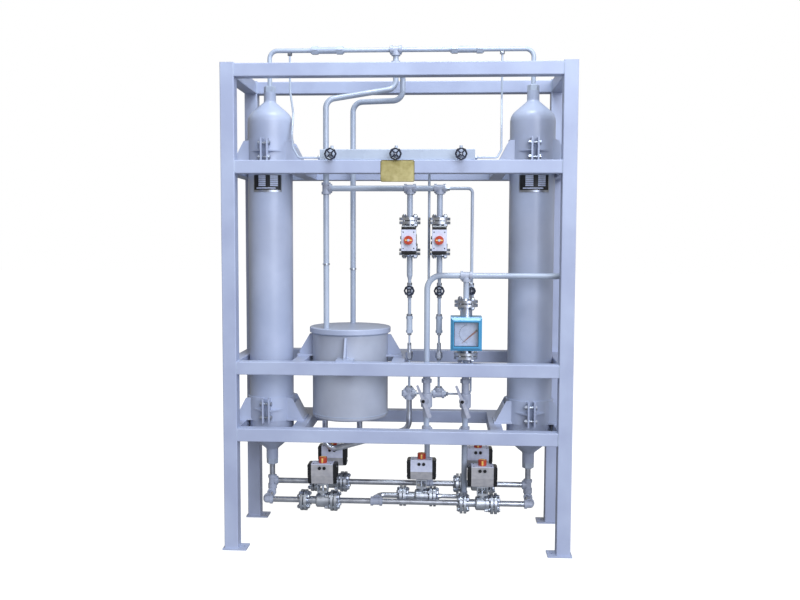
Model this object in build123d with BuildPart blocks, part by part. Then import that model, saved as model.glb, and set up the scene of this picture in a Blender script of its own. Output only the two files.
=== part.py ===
from build123d import *
import os
from math import cos, radians, sin, sqrt

os.makedirs("parts", exist_ok=True)

# Heatless regenerative dryer. X runs along the front, Y runs from front to back, Z is up.
# The origin is on the floor, in the middle of the frame.

# Frame
frame_width = 2000
frame_depth = 680
frame_height = 2800
post_size = 80
post_wall = 5
post_cap = 4
rail_size = 75
rail_wall = 5
top_rail_drop = 5
upper_rail_drop = 545
middle_rail_z = 1106
lower_rail_z = 716
cross_rail_spacing = 206.5
drum_rail_left = 277.5
drum_rail_right = 302.5
foot_length = 140
foot_width = 100
foot_thickness = 10
foot_overhang = 10
anchor_hole = 18

# Towers
tower_set_in = 216
tower_diameter = 267
tower_wall = 8
tower_low = 607
tower_top_drop = 258
dome_height = 83
dome_round = 80
neck_diameter = 72
neck_length = 60
neck_bore = 40
neck_round = 16
plug_flats = 62
plug_height = 35
plug_shank = 30
bed_clearance = 0.3
bed_inset = 55
screen_thickness = 6
screen_hole = 8

# Tower clamps
clamp_clearance = 0.3
clamp_wall = 8
clamp_height = 144
clamp_gap = 26
clamp_flange = 10
clamp_flange_reach = 46
clamp_bolt_spacing = 82
clamp_bolt = 16
clamp_rib = 8
ear_reach = 213
ear_half_width = 95
ear_base = 12
ear_plate = 8
ear_top_reach = 141
ear_gusset_y = 84
ear_slant = 0.75
ear_round = 14

# Drum
drum_x = -300
drum_diameter = 457
drum_wall = 6
drum_low = 738
drum_high = 1250
drum_edge = 15
lid_diameter = 490
lid_thickness = 34
lid_edge = 6
drum_ear_height = 132
drum_ear_top = 18
drum_ear_reach = 82
drum_ear_plate = 12
drum_ear_base = 100

# Pipes and forged fittings
pipe_outside = 33.7
pipe_bore = 26.5
header_outside = 26.9
header_bore = 21
fitting_reach = 34
fitting_band = 54
fitting_body = 44
slim_band = 42
slim_body = 38
band_length = 15
reducer_length = 24
bushing_flats = 34
bushing_height = 10
bushing_shank = 8
small_fitting_reach = 15
small_fitting_band = 28
collar_outside = 42
collar_length = 8

# Tubes
tube_outside = 12
tube_bore = 9
drop_tube = 15
bypass_tube = 18
bypass_bore = 14
lower_tube = 14
column_tube = 20
column_bore = 15

# Flanges
flange_diameter = 124
flange_thickness = 17.5
flange_face = 51
flange_face_height = 1.6
flange_hub = 50
flange_hub_height = 9
bolt_circle = 88.9
stud_hole = 19
nut_flats = 24
nut_height = 13
stud_tail = 4
gasket_thickness = 3

# Ball valves
valve_long = 112
valve_short = 68
valve_neck = 46
valve_body = 82
valve_joint = 30
valve_joint_flange = 92
joint_thickness = 10
barrel_round = 12
ball_bore = 26.5
seat_start = 15
ball_diameter = 38
ball_gap = 0.5
stem_diameter = 14
stem_gap = 0.3
stem_boss = 42
pad_height = 60
pad_size = 62
pad_thickness = 8

# Actuators
bracket_height = 45
bracket_wall = 5
bracket_width = 62
actuator_length = 130
actuator_width = 84
actuator_height = 124
actuator_cap = 21
actuator_foot = 52
housing_waist = 0.42
housing_round = 5
cap_inset = 1
cap_bevel = 6
cap_taper = 35
upper_actuator_length = 120
upper_actuator_height = 92
upper_bracket_height = 18
indicator_diameter = 50
indicator_height = 32
upper_indicator_height = 20
port_diameter = 19
port_spacing = 28
port_length = 6
low_port_share = 0.8
high_port_share = 0.62

# Needle valves and check valves
needle_width = 34
needle_height = 62
needle_depth = 36
bonnet_diameter = 26
bonnet_length = 22
bypass_bonnet = 8
needle_round = 4
spindle_diameter = 8
spindle_gap = 0.3
wheel_diameter = 64
manifold_wheel = 71
bypass_wheel = 50
wheel_rim = 9
wheel_hub = 18
wheel_stand_off = 12
bypass_stand_off = 3
manifold_stand_off = 22
wheel_spoke = 10
check_diameter = 35
check_length = 100
check_hex = 36
check_hex_length = 14
top_check_length = 198
top_check_diameter = 39
top_check_hex = 45
top_check_hex_length = 36

# Lever valves
lever_body = 66
lever_neck = 44
lever_round = 8
lever_turn = 20
lever_valve_up = 91
lever_valve_down = 98
lever_pad = 12
lever_boss = 30
lever_cheek = 50
lever_cheek_depth = 5
lever_stem = 12
lever_nut = 6
lever_washer = 30
lever_length = 200
lever_width = 24
lever_tip_width = 13
lever_thickness = 5
lever_lean = 24
union_flats = 52
union_length = 46

# Flow meter
meter_tube = 68
meter_bore = 50
meter_flange_diameter = 135
meter_bolt_circle = 98.4
case_width = 178
case_height = 190
case_front = -338
case_back = -178
case_bevel = 16
window_size = 138
window_depth = 44
glass_thickness = 4
glass_inset = 6
dial_thickness = 2
pointer_length = 112
pointer_pivot = 58
pointer_rise = 17
pointer_drop = 41
pointer_hub = 14
pointer_shaft = 5
pointer_depth = 12
pointer_lift = 3
pointer_thickness = 2
case_rise = -17

# Manifold bar on the upper rail
manifold_length = 872
manifold_height = 60
manifold_depth = 50
manifold_end_margin = 72
manifold_wheel_x = -6
manifold_set_back = 15

# Heights and depths of the pipe runs
header_rise = 130
middle_header_z = 2106
middle_header_y = -150
drum_pipe_offset = -125
column_a_x = 66
column_b_x = 240
column_c_x = 171
meter_x = 396
bypass_x = 428
outlet_y = -220
outlet_z = 1603
column_valve_z = 1806
column_needle_z = 1513
column_check_z = 1312
column_tee_z = 903
rear_line_y = 0
rear_line_z = 322
front_line_y = -166
front_line_z = rear_line_z - 2 * fitting_reach
centre_line_y = -83
centre_line_z = 267
front_left_x = -446
front_right_x = 501
centre_valve_x = 140
rear_left_x = -408
rear_right_x = 480
front_tee_x = -126
lever_valve_z = 877
cross_link_z = 690
meter_flange_z = 1444
meter_low_flange_z = 1142
header_bend = 48
return_bend = 25
feed_bend = 40
outlet_bend = 80
drum_pipe_bend = 60
drum_slope_high_drop = 125
drum_slope_low_drop = 213
return_slope_drop = 175
return_top_x = 7
return_top_y = 130
return_high_z = 632
return_low_z = 585
slope_high = 690
slope_low = 546
cone_top = 1600
cone_height = 25
stack_top = 1193
stack_height = 78
stack_flats = 38
stack_diameter = 24
link_offset = 6
drop_y = -110
drop_rise = 20
drop_bend = 18
collar_z = 1660
left_tap_spacing = 122
right_tap_spacing = 184
instrument_rise = 15
instrument_bend = 20
left_tube_steps = ((0, 0, 445), (22, -20, 305), (28, -100, 165), (62, -250, 75))
right_tube_steps = ((0, 0, 380), (-11, -200, 67))
manifold_turn_reach = 124
header_tee_x = -28
drum_tee_drop = 100
top_check_x = (-436, 393)
drum_return_offset = -5
drum_return_y = 200
nozzle_left_offset = -134
nozzle_right_offset = 72

half_width = frame_width / 2
half_depth = frame_depth / 2
post_x = half_width - post_size / 2
post_y = half_depth - post_size / 2
inner_x = half_width - post_size
inner_y = half_depth - post_size
rail_back = post_y - rail_size / 2
top_rail_z = frame_height - top_rail_drop
upper_rail_z = frame_height - upper_rail_drop
tower_x = half_width - tower_set_in
tower_high = frame_height - tower_top_drop
cross_rail_x = tower_x - cross_rail_spacing
header_z = frame_height + header_rise
drum_tee_z = header_z - drum_tee_drop
drum_slope_high = drum_tee_z - drum_slope_high_drop
drum_slope_low = drum_tee_z - drum_slope_low_drop
return_slope_z = drum_tee_z - return_slope_drop
drum_pipe_x = drum_x + drum_pipe_offset
drum_return_x = drum_x + drum_return_offset
nozzle_left_x = drum_x + nozzle_left_offset
nozzle_right_x = drum_x + nozzle_right_offset
drop_z = upper_rail_z + drop_rise
instrument_z = upper_rail_z + instrument_rise


def write_group(name, pieces):
    node = Compound([solid for piece in pieces for solid in piece.solids()])
    node.label = name
    export_step(node, f"parts/{name}.step")


def polar(radius, angle):
    return radius * cos(radians(angle)), radius * sin(radians(angle))


# Posts: square tubes closed by a welded cap
with BuildPart() as posts:
    with BuildSketch(Plane.XY.offset(foot_thickness)):
        with GridLocations(2 * post_x, 2 * post_y, 2, 2):
            RectangleRounded(post_size, post_size, post_wall)
            Rectangle(post_size - 2 * post_wall, post_size - 2 * post_wall, mode=Mode.SUBTRACT)
    extrude(amount=frame_height - foot_thickness - post_cap)
    with BuildSketch(Plane.XY.offset(frame_height - post_cap)):
        with GridLocations(2 * post_x, 2 * post_y, 2, 2):
            RectangleRounded(post_size, post_size, post_wall)
    extrude(amount=post_cap)
posts.part.label = "posts"
export_step(posts.part, "parts/posts.step")

# Foot plates: each reaches inward past its post and has one anchor hole there
foot_x = half_width + foot_overhang - foot_length / 2
foot_y = half_depth + foot_overhang - foot_width / 2
anchor_x = inner_x - (foot_length - foot_overhang - post_size) / 2
with BuildPart() as foot_plates:
    with BuildSketch():
        with GridLocations(2 * foot_x, 2 * foot_y, 2, 2):
            Rectangle(foot_length, foot_width)
        with GridLocations(2 * anchor_x, 2 * post_y, 2, 2):
            Circle(anchor_hole / 2, mode=Mode.SUBTRACT)
    extrude(amount=foot_thickness)
foot_plates.part.label = "foot_plates"
export_step(foot_plates.part, "parts/foot_plates.step")


def rail_section():
    RectangleRounded(rail_size, rail_size, rail_wall)
    Rectangle(rail_size - 2 * rail_wall, rail_size - 2 * rail_wall, mode=Mode.SUBTRACT)


def rails(top, cross_places):
    """The four rails of one level, between the posts, and its cross rails from front to back."""
    middle = top - rail_size / 2
    with BuildPart() as long_rails:
        with BuildSketch(Plane.YZ.offset(-inner_x)):
            with Locations((-post_y, middle), (post_y, middle)):
                rail_section()
        extrude(amount=2 * inner_x)
    with BuildPart() as side_rails:
        with BuildSketch(Plane.XZ.offset(-inner_y)):
            with Locations((-post_x, middle), (post_x, middle)):
                rail_section()
        extrude(amount=2 * inner_y)
    level = [long_rails.part, side_rails.part]
    for place in cross_places:
        with BuildPart() as cross_rail:
            with BuildSketch(Plane.XZ.offset(-rail_back)):
                with Locations((place, middle)):
                    rail_section()
            extrude(amount=2 * rail_back)
        level.append(cross_rail.part)
    return level


write_group("top_rails", rails(top_rail_z, []))
write_group("upper_rails", rails(upper_rail_z, [-cross_rail_x, cross_rail_x]))
write_group("middle_rails", rails(middle_rail_z, [drum_x - drum_rail_left, drum_x + drum_rail_right]))
write_group("lower_rails", rails(lower_rail_z, [-cross_rail_x, cross_rail_x]))


# Towers: seamless bottles with a dome and a neck at each end
def bottle_outline(radius, neck, dome, reach):
    """Half outline of a bottle, from its axis, with a round shoulder and a round neck root."""
    low = tower_low - dome_height + dome
    high = tower_high + dome_height - dome
    Polyline(
        (0, low - reach),
        (neck, low - reach),
        (neck, low),
        (radius, tower_low + dome / 3),
        (radius, tower_high - dome / 3),
        (neck, high),
        (neck, high + reach),
        (0, high + reach),
        close=True,
    )


inside_radius = tower_diameter / 2 - tower_wall
with BuildPart() as tower:
    with BuildSketch(Plane.XZ):
        with BuildLine():
            bottle_outline(tower_diameter / 2, neck_diameter / 2, 0, neck_length)
        make_face()
        shoulders = [v for v in vertices() if abs(v.X - tower_diameter / 2) < 0.01]
        fillet(shoulders, radius=dome_round)
        roots = vertices().filter_by(lambda v: abs(v.X - neck_diameter / 2) < 0.01)
        roots = [v for v in roots if tower_low - dome_height - 1 < v.Y < tower_high + dome_height + 1]
        fillet(roots, radius=neck_round)
    revolve(axis=Axis.Z)
    with BuildSketch(Plane.XZ):
        with BuildLine():
            bottle_outline(inside_radius, neck_bore / 2, tower_wall, neck_length + tower_wall)
        make_face()
        shoulders = [v for v in vertices() if abs(v.X - inside_radius) < 0.01]
        fillet(shoulders, radius=dome_round - tower_wall)
    revolve(axis=Axis.Z, mode=Mode.SUBTRACT)

for name, place in (("tower_left", -tower_x), ("tower_right", tower_x)):
    bottle = tower.part.moved(Location((place, 0, 0)))
    bottle.label = name
    export_step(bottle, f"parts/{name}.step")

tower_places = [Location((side * tower_x, 0, 0)) for side in (-1, 1)]
neck_top = tower_high + dome_height + neck_length
neck_bottom = tower_low - dome_height - neck_length

# Neck plugs: a hexagon that closes the bottle and a shank inside its neck
with BuildPart() as neck_plug:
    with BuildSketch():
        RegularPolygon(plug_flats / 2, 6, major_radius=False)
    extrude(amount=plug_height)
    chamfer(neck_plug.edges().group_by(Axis.Z)[-1], length=3)
    with BuildSketch():
        Circle(neck_bore / 2 - clamp_clearance / 2)
    extrude(amount=-plug_shank)
    Hole(header_bore / 2)
upper_plug = neck_plug.part.moved(Location((0, 0, neck_top)))
lower_plug = neck_plug.part.moved(Location((0, 0, neck_bottom), (180, 0, 0)))
write_group("neck_plugs", [plug.moved(place) for place in tower_places for plug in (upper_plug, lower_plug)])

# Desiccant bed and the two perforated screens that hold it in each tower
bed_radius = inside_radius - bed_clearance
bed_low = tower_low + bed_inset
bed_high = tower_high - bed_inset
with BuildPart() as desiccant_bed:
    with BuildSketch(Plane.XY.offset(bed_low)):
        Circle(bed_radius)
    extrude(amount=bed_high - bed_low)
write_group("desiccant_beds", [desiccant_bed.part.moved(place) for place in tower_places])

with BuildPart() as screen:
    with BuildSketch():
        Circle(bed_radius)
        for ring, count in ((0.25, 6), (0.5, 12), (0.75, 18)):
            with PolarLocations(ring * bed_radius, count):
                Circle(screen_hole / 2, mode=Mode.SUBTRACT)
    extrude(amount=screen_thickness)
screens = [screen.part.moved(Location((0, 0, z))) for z in (bed_low - screen_thickness, bed_high)]
write_group("bed_screens", [piece.moved(place) for place in tower_places for piece in screens])

# Tower clamps: two half bands bolted through flanges at the front and the back, each half
# with ribs and a gusseted ear that stands on a rail
clamp_inside = tower_diameter / 2 + clamp_clearance
clamp_outside = clamp_inside + clamp_wall
flange_tip = clamp_outside + clamp_flange_reach
bolt_y = clamp_outside + clamp_flange_reach * 0.55
flange_outer_x = clamp_gap / 2 + clamp_flange
rib_reach = 0.66 * clamp_outside
with BuildPart() as clamp_half:
    with BuildSketch():
        Circle(clamp_outside)
        with Locations((flange_outer_x - clamp_flange / 2, 0)):
            Rectangle(clamp_flange, 2 * flange_tip)
        with Locations((clamp_gap / 2 - clamp_outside, 0)):
            Rectangle(2 * clamp_outside, 3 * clamp_outside, mode=Mode.SUBTRACT)
        Circle(clamp_inside, mode=Mode.SUBTRACT)
    extrude(amount=clamp_height)
    with BuildSketch(Plane.XY.offset((clamp_height - clamp_rib) / 2)):
        for side in (-1, 1):
            with BuildLine():
                Polyline(
                    (flange_outer_x, side * (clamp_outside - clamp_wall)),
                    (flange_outer_x, side * (flange_tip - clamp_wall)),
                    (rib_reach, side * sqrt(clamp_outside**2 - rib_reach**2)),
                    close=True,
                )
            make_face()
        Circle(clamp_inside, mode=Mode.SUBTRACT)
    extrude(amount=clamp_rib)
    with BuildSketch():
        with Locations(((clamp_inside + ear_reach) / 2 - ear_half_width / 2, 0)):
            Rectangle(ear_reach - clamp_inside + ear_half_width, 2 * ear_half_width)
        Circle(clamp_inside, mode=Mode.SUBTRACT)
        with Locations((-clamp_outside, 0)):
            Rectangle(2 * clamp_outside, 2 * clamp_outside, mode=Mode.SUBTRACT)
    extrude(amount=ear_base)
    ear_root = sqrt(clamp_inside**2 - ear_gusset_y**2) + clamp_wall / 2
    slant_reach = ear_reach - ear_plate - ear_slant * (ear_reach - ear_plate - ear_top_reach)
    slant_height = ear_base + ear_slant * (clamp_height - clamp_wall - ear_base)
    for side in (-1, 1):
        with BuildSketch(Plane.XZ.offset(-side * ear_gusset_y - ear_plate / 2)):
            with BuildLine():
                Polyline(
                    (ear_root, 0),
                    (ear_reach - ear_plate, 0),
                    (ear_reach - ear_plate, ear_base),
                    (ear_top_reach, clamp_height - clamp_wall),
                    (ear_root, clamp_height - clamp_wall),
                    close=True,
                )
            make_face()
            fillet(vertices().filter_by(lambda v: abs(v.X - ear_top_reach) < 0.01), radius=ear_round)
        extrude(amount=ear_plate)
    with BuildSketch(Plane.XZ.offset(-ear_gusset_y)):
        with BuildLine():
            Polyline(
                (ear_reach - ear_plate, ear_base),
                (slant_reach, slant_height),
                (slant_reach - ear_plate, slant_height),
                (ear_reach - 2 * ear_plate, ear_base),
                close=True,
            )
        make_face()
    extrude(amount=2 * ear_gusset_y)
    with BuildSketch(Plane.YZ.offset(clamp_gap / 2)):
        for side in (-1, 1):
            with Locations((side * bolt_y, clamp_height / 2)):
                with GridLocations(1, clamp_bolt_spacing, 1, 2):
                    Circle((clamp_bolt + 1.5) / 2)
    extrude(amount=clamp_flange, mode=Mode.SUBTRACT)

with BuildPart() as clamp_bolt_piece:
    with BuildSketch(Plane.YZ.offset(-flange_outer_x - nut_height - stud_tail)):
        Circle(clamp_bolt / 2)
    extrude(amount=2 * flange_outer_x + nut_height + stud_tail)
    with BuildSketch(Plane.YZ.offset(flange_outer_x)):
        RegularPolygon(nut_flats / 2, 6, major_radius=False)
    extrude(amount=nut_height * 0.8)
    with BuildSketch(Plane.YZ.offset(-flange_outer_x - nut_height)):
        RegularPolygon(nut_flats / 2, 6, major_radius=False)
    extrude(amount=nut_height)

clamp_places = [
    Location((side * tower_x, 0, level)) for side in (-1, 1) for level in (upper_rail_z, lower_rail_z)
]
clamp_halves = [clamp_half.part, clamp_half.part.moved(Location((0, 0, 0), (0, 0, 180)))]
write_group("tower_clamps", [half.moved(place) for place in clamp_places for half in clamp_halves])
bolt_places = [
    Location((0, side * bolt_y, clamp_height / 2 + step * clamp_bolt_spacing / 2))
    for side in (-1, 1)
    for step in (-1, 1)
]
write_group(
    "clamp_bolts",
    [clamp_bolt_piece.part.moved(place * spot) for place in clamp_places for spot in bolt_places],
)

# Drum: a welded vessel with a thick flat lid, on four gusset feet
drum_radius = drum_diameter / 2
with BuildPart() as drum_shell:
    with BuildSketch(Plane.XY.offset(drum_low)):
        with Locations((drum_x, 0)):
            Circle(drum_radius)
    extrude(amount=drum_high - drum_low)
    fillet(drum_shell.edges().group_by(Axis.Z)[0], radius=drum_edge)
    with BuildSketch(Plane.XY.offset(drum_low + drum_wall)):
        with Locations((drum_x, 0)):
            Circle(drum_radius - drum_wall)
    extrude(amount=drum_high - drum_low, mode=Mode.SUBTRACT)
    with BuildSketch(Plane.XY.offset(drum_low)):
        with Locations((nozzle_left_x, middle_header_y), (nozzle_right_x, middle_header_y)):
            Circle(pipe_bore / 2)
    extrude(amount=drum_wall, mode=Mode.SUBTRACT)
drum_shell.part.label = "drum_shell"
export_step(drum_shell.part, "parts/drum_shell.step")

with BuildPart() as drum_lid:
    with BuildSketch(Plane.XY.offset(drum_high)):
        with Locations((drum_x, 0)):
            Circle(lid_diameter / 2)
        with Locations((drum_pipe_x, middle_header_y), (drum_return_x, drum_return_y)):
            Circle(pipe_bore / 2, mode=Mode.SUBTRACT)
    extrude(amount=lid_thickness)
    rims = drum_lid.edges().filter_by(GeomType.CIRCLE).filter_by(lambda e: e.radius > pipe_outside)
    fillet(rims, radius=lid_edge)
drum_lid.part.label = "drum_lid"
export_step(drum_lid.part, "parts/drum_lid.step")

with BuildPart() as drum_foot:
    with BuildSketch():
        with Locations((drum_radius + drum_ear_reach / 2, 0)):
            Rectangle(drum_ear_reach + drum_ear_plate, drum_ear_base)
        Circle(drum_radius + clamp_clearance / 2, mode=Mode.SUBTRACT)
    extrude(amount=drum_ear_plate)
    with BuildSketch(Plane.XZ.offset(-drum_ear_plate / 2)):
        with BuildLine():
            Polyline(
                (drum_radius + clamp_clearance, 0),
                (drum_radius + drum_ear_reach, 0),
                (drum_radius + drum_ear_reach, 2 * drum_ear_plate),
                (drum_radius + drum_ear_top, drum_ear_height),
                (drum_radius + clamp_clearance, drum_ear_height),
                close=True,
            )
        make_face()
    extrude(amount=drum_ear_plate)
write_group(
    "drum_feet",
    [drum_foot.part.moved(Location((drum_x, 0, middle_rail_z), (0, 0, turn))) for turn in (0, 90, 180, 270)],
)


# Pipes and fittings
def pipe_run(route, bend=return_bend, outside=pipe_outside, bore=pipe_bore):
    """A tube along the route, with a round bend of one radius at each corner."""
    with BuildPart() as run:
        with BuildLine():
            path = Line(*route) if len(route) == 2 else FilletPolyline(*route, radius=bend)
        with BuildSketch(Plane(origin=path @ 0, z_dir=path % 0)):
            Circle(outside / 2)
            Circle(bore / 2, mode=Mode.SUBTRACT)
        sweep(path=path)
    return run.part


def forged_fitting(
    centre, ways, reach=fitting_reach, band=fitting_band, body=fitting_body, bore=pipe_bore
):
    """A forged fitting with one banded arm for each way out of its centre."""
    with BuildPart() as fitting:
        Sphere(body / 2)
        for way in ways:
            arm = Plane(origin=(0, 0, 0), z_dir=way)
            with BuildSketch(arm):
                Circle(body / 2)
            extrude(amount=reach)
            with BuildSketch(arm.offset(reach - min(band_length, reach * 0.45))):
                Circle(band / 2)
            extrude(amount=min(band_length, reach * 0.45))
        for way in ways:
            with BuildSketch(Plane(origin=(0, 0, 0), z_dir=way)):
                Circle(bore / 2)
            extrude(amount=reach, mode=Mode.SUBTRACT)
    return fitting.part.moved(Location(centre))


def stand(part, point, out, side=(1, 0, 0)):
    """A copy of a part with its own Z turned to point out, and its X along side."""
    return part.moved(Plane(origin=point, x_dir=side, z_dir=out).location)


left, right = (-1, 0, 0), (1, 0, 0)
front, back = (0, -1, 0), (0, 1, 0)
up, down = (0, 0, 1), (0, 0, -1)
flange_half = flange_thickness + gasket_thickness / 2
hub_half = flange_half + flange_hub_height
plug_top = neck_top + plug_height
plug_bottom = neck_bottom - plug_height

# Top header: from tower to tower above the frame, with a check valve each side of its middle tee
return_slope = sqrt((return_top_x - header_tee_x) ** 2 + return_top_y**2)
return_way = ((return_top_x - header_tee_x) / return_slope, return_top_y / return_slope, 0)
top_header = []
for side, place in zip((-1, 1), top_check_x):
    tee_side = [
        (header_tee_x + side * fitting_reach, 0, header_z),
        (place - side * top_check_length / 2, 0, header_z),
    ]
    tower_side = [
        (place + side * top_check_length / 2, 0, header_z),
        (side * tower_x, 0, header_z),
        (side * tower_x, 0, plug_top),
    ]
    for route in (tee_side, tower_side):
        top_header.append(pipe_run(route, header_bend, header_outside, header_bore))
write_group("top_header_pipes", top_header)

# Bottom lines: the front and back lines join the towers, and the middle line feeds the front one
centre_right_x = centre_valve_x + valve_short
bottom_lines = []
for side in (-1, 1):
    drop = [(side * tower_x, 0, plug_bottom), (side * tower_x, 0, rear_line_z + fitting_reach)]
    bottom_lines.append(pipe_run(drop))
    forward = [
        (side * tower_x, -fitting_reach, front_line_z),
        (side * tower_x, front_line_y + fitting_reach, front_line_z),
    ]
    bottom_lines.append(pipe_run(forward))


def straight_between(stops, y, z, outside=pipe_outside, bore=pipe_bore):
    """Pipes along X between each pair of stops."""
    return [pipe_run([(a, y, z), (b, y, z)], 0, outside, bore) for a, b in stops]


front_stops = (
    (-tower_x + fitting_reach, front_left_x - valve_long - hub_half),
    (front_left_x + valve_short + hub_half, front_tee_x - fitting_reach),
    (front_tee_x + fitting_reach, front_right_x - valve_long - hub_half),
    (front_right_x + valve_short + hub_half, tower_x - fitting_reach),
)
rear_stops = (
    (-tower_x + fitting_reach, rear_left_x - valve_long - hub_half),
    (rear_left_x + valve_short + hub_half, column_c_x - fitting_reach),
    (column_c_x + fitting_reach, rear_right_x - valve_long - hub_half),
    (rear_right_x + valve_short + hub_half, tower_x - fitting_reach),
)
bottom_lines += straight_between(front_stops, front_line_y, front_line_z)
bottom_lines += straight_between(rear_stops, rear_line_y, rear_line_z)
feed_slope = sqrt((centre_line_y - front_line_y) ** 2 + (centre_line_z - front_line_z) ** 2)
feed_way = (0, (centre_line_y - front_line_y) / feed_slope, (centre_line_z - front_line_z) / feed_slope)
feed = [
    (front_tee_x, front_line_y + fitting_reach * feed_way[1], front_line_z + fitting_reach * feed_way[2]),
    (front_tee_x, centre_line_y, centre_line_z),
    (centre_valve_x - valve_long - hub_half, centre_line_y, centre_line_z),
]
bottom_lines.append(pipe_run(feed, feed_bend))


def turned_pipe(stations):
    """A round pipe about Z from stations of height, outside diameter and bore."""
    with BuildPart() as turned:
        with BuildSketch(Plane.XZ):
            with BuildLine():
                outer = [(outside / 2, z) for z, outside, bore in stations]
                inner = [(bore / 2, z) for z, outside, bore in reversed(stations)]
                Polyline(*outer, *inner, close=True)
            make_face()
        revolve(axis=Axis.Z)
    return turned.part


reducer = turned_pipe(
    [
        (0, pipe_outside, pipe_bore),
        (reducer_length, header_outside, header_bore),
        (meter_x - fitting_reach - centre_right_x - hub_half, header_outside, header_bore),
    ]
)
bottom_lines.append(stand(reducer, (centre_right_x + hub_half, centre_line_y, centre_line_z), right, back))
write_group("bottom_line_pipes", bottom_lines)

# Pipes from the top header to the drum and to the middle header
y = middle_header_y
drum_pipes = [
    pipe_run([(header_tee_x, 0, header_z - fitting_reach), (header_tee_x, 0, drum_tee_z + fitting_reach)]),
    pipe_run(
        [
            (header_tee_x, 0, drum_tee_z - fitting_reach),
            (header_tee_x, 0, drum_slope_high),
            (drum_pipe_x, y, drum_slope_low),
            (drum_pipe_x, y, middle_header_z + fitting_reach),
        ],
        drum_pipe_bend,
    ),
    pipe_run(
        [(drum_pipe_x, y, middle_header_z - fitting_reach), (drum_pipe_x, y, drum_high + lid_thickness)]
    ),
    pipe_run(
        [
            (header_tee_x + fitting_reach * return_way[0], fitting_reach * return_way[1], drum_tee_z),
            (return_top_x, return_top_y, drum_tee_z),
            (return_top_x, return_top_y, return_slope_z),
            (drum_return_x, drum_return_y, return_slope_z),
            (drum_return_x, drum_return_y, drum_high + lid_thickness),
        ],
        drum_pipe_bend,
    ),
]
for start, end in ((drum_pipe_x, column_a_x), (column_a_x, column_b_x)):
    drum_pipes.append(
        pipe_run([(start + fitting_reach, y, middle_header_z), (end - fitting_reach, y, middle_header_z)])
    )
flange_root = column_valve_z + valve_long + hub_half
for x in (column_a_x, column_b_x):
    drum_pipes.append(pipe_run([(x, y, middle_header_z - fitting_reach), (x, y, flange_root)]))
write_group("drum_pipes", drum_pipes)

# Outlet run, column C, the meter column, and the links down to the back and middle lines
y = outlet_y
union_top = lever_valve_z + lever_valve_up + union_length
lever_low = lever_valve_z - lever_valve_down
outlet_pipes = [
    pipe_run([(half_width, y, outlet_z), (meter_x + fitting_reach, y, outlet_z)]),
    pipe_run(
        [(meter_x - fitting_reach, y, outlet_z), (column_c_x, y, outlet_z), (column_c_x, y, union_top)],
        outlet_bend,
    ),
    pipe_run([(meter_x, y, outlet_z - fitting_reach), (meter_x, y, meter_flange_z + hub_half)]),
    pipe_run([(meter_x, y, meter_low_flange_z - hub_half), (meter_x, y, union_top)]),
    pipe_run([(column_c_x + fitting_reach, y, cross_link_z), (meter_x - fitting_reach, y, cross_link_z)]),
]
write_group("outlet_pipes", outlet_pipes)
link_pipes = []
for x, back_y, low in (
    (column_c_x, rear_line_y, rear_line_z + fitting_reach),
    (meter_x, centre_line_y, centre_line_z + fitting_reach),
):
    link_pipes.append(pipe_run([(x, y, lever_low), (x, y, cross_link_z + fitting_reach)]))
    link = [
        (x, y, cross_link_z - fitting_reach),
        (x, y, return_high_z),
        (x, back_y, return_low_z),
        (x, back_y, low),
    ]
    link_pipes.append(pipe_run(link))
write_group("link_pipes", link_pipes)

# Purge columns: pipe, cone and tubes under each upper valve, and the sloping pipe to the drum
y = middle_header_y
needle_top = column_needle_z + needle_height / 2
needle_low = column_needle_z - needle_height / 2
check_top = column_check_z + check_length / 2
check_low = column_check_z - check_length / 2
bushing_top = column_tee_z + fitting_reach + bushing_height
column_cone = turned_pipe(
    [
        (column_valve_z - valve_short - hub_half, pipe_outside, pipe_bore),
        (cone_top, pipe_outside, pipe_bore),
        (cone_top - cone_height, column_tube, column_bore),
        (needle_top, column_tube, column_bore),
    ]
)
purge_pipes = []
for x in (column_a_x, column_b_x):
    purge_pipes += [
        column_cone.moved(Location((x, y, 0))),
        pipe_run([(x, y, needle_low), (x, y, check_top)], 0, column_tube, column_bore),
        pipe_run([(x, y, check_low), (x, y, stack_top)], 0, tube_outside, tube_bore),
        pipe_run([(x, y, stack_top - stack_height), (x, y, bushing_top)], 0, lower_tube, tube_bore),
    ]
slope_route = [
    (column_a_x, y, column_tee_z - fitting_reach),
    (column_a_x, y, slope_high),
    (nozzle_left_x, y, slope_low),
    (nozzle_left_x, y, drum_low),
]
nozzle_share = (nozzle_right_x - nozzle_left_x) / (column_a_x - nozzle_left_x)
nozzle_root = slope_low + (slope_high - slope_low) * nozzle_share
nozzle_route = [(nozzle_right_x, y, nozzle_root), (nozzle_right_x, y, drum_low)]
with BuildPart() as sloping_pipe:
    for diameter, mode in ((pipe_outside, Mode.ADD), (pipe_bore, Mode.SUBTRACT)):
        for route in (slope_route, nozzle_route):
            with BuildLine():
                path = Line(*route) if len(route) == 2 else FilletPolyline(*route, radius=drum_pipe_bend)
            with BuildSketch(Plane(origin=path @ 0, z_dir=path % 0)):
                Circle(diameter / 2)
            sweep(path=path, mode=mode)
write_group("purge_pipes", purge_pipes)
write_group("sloping_pipe", [sloping_pipe.part])

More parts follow.
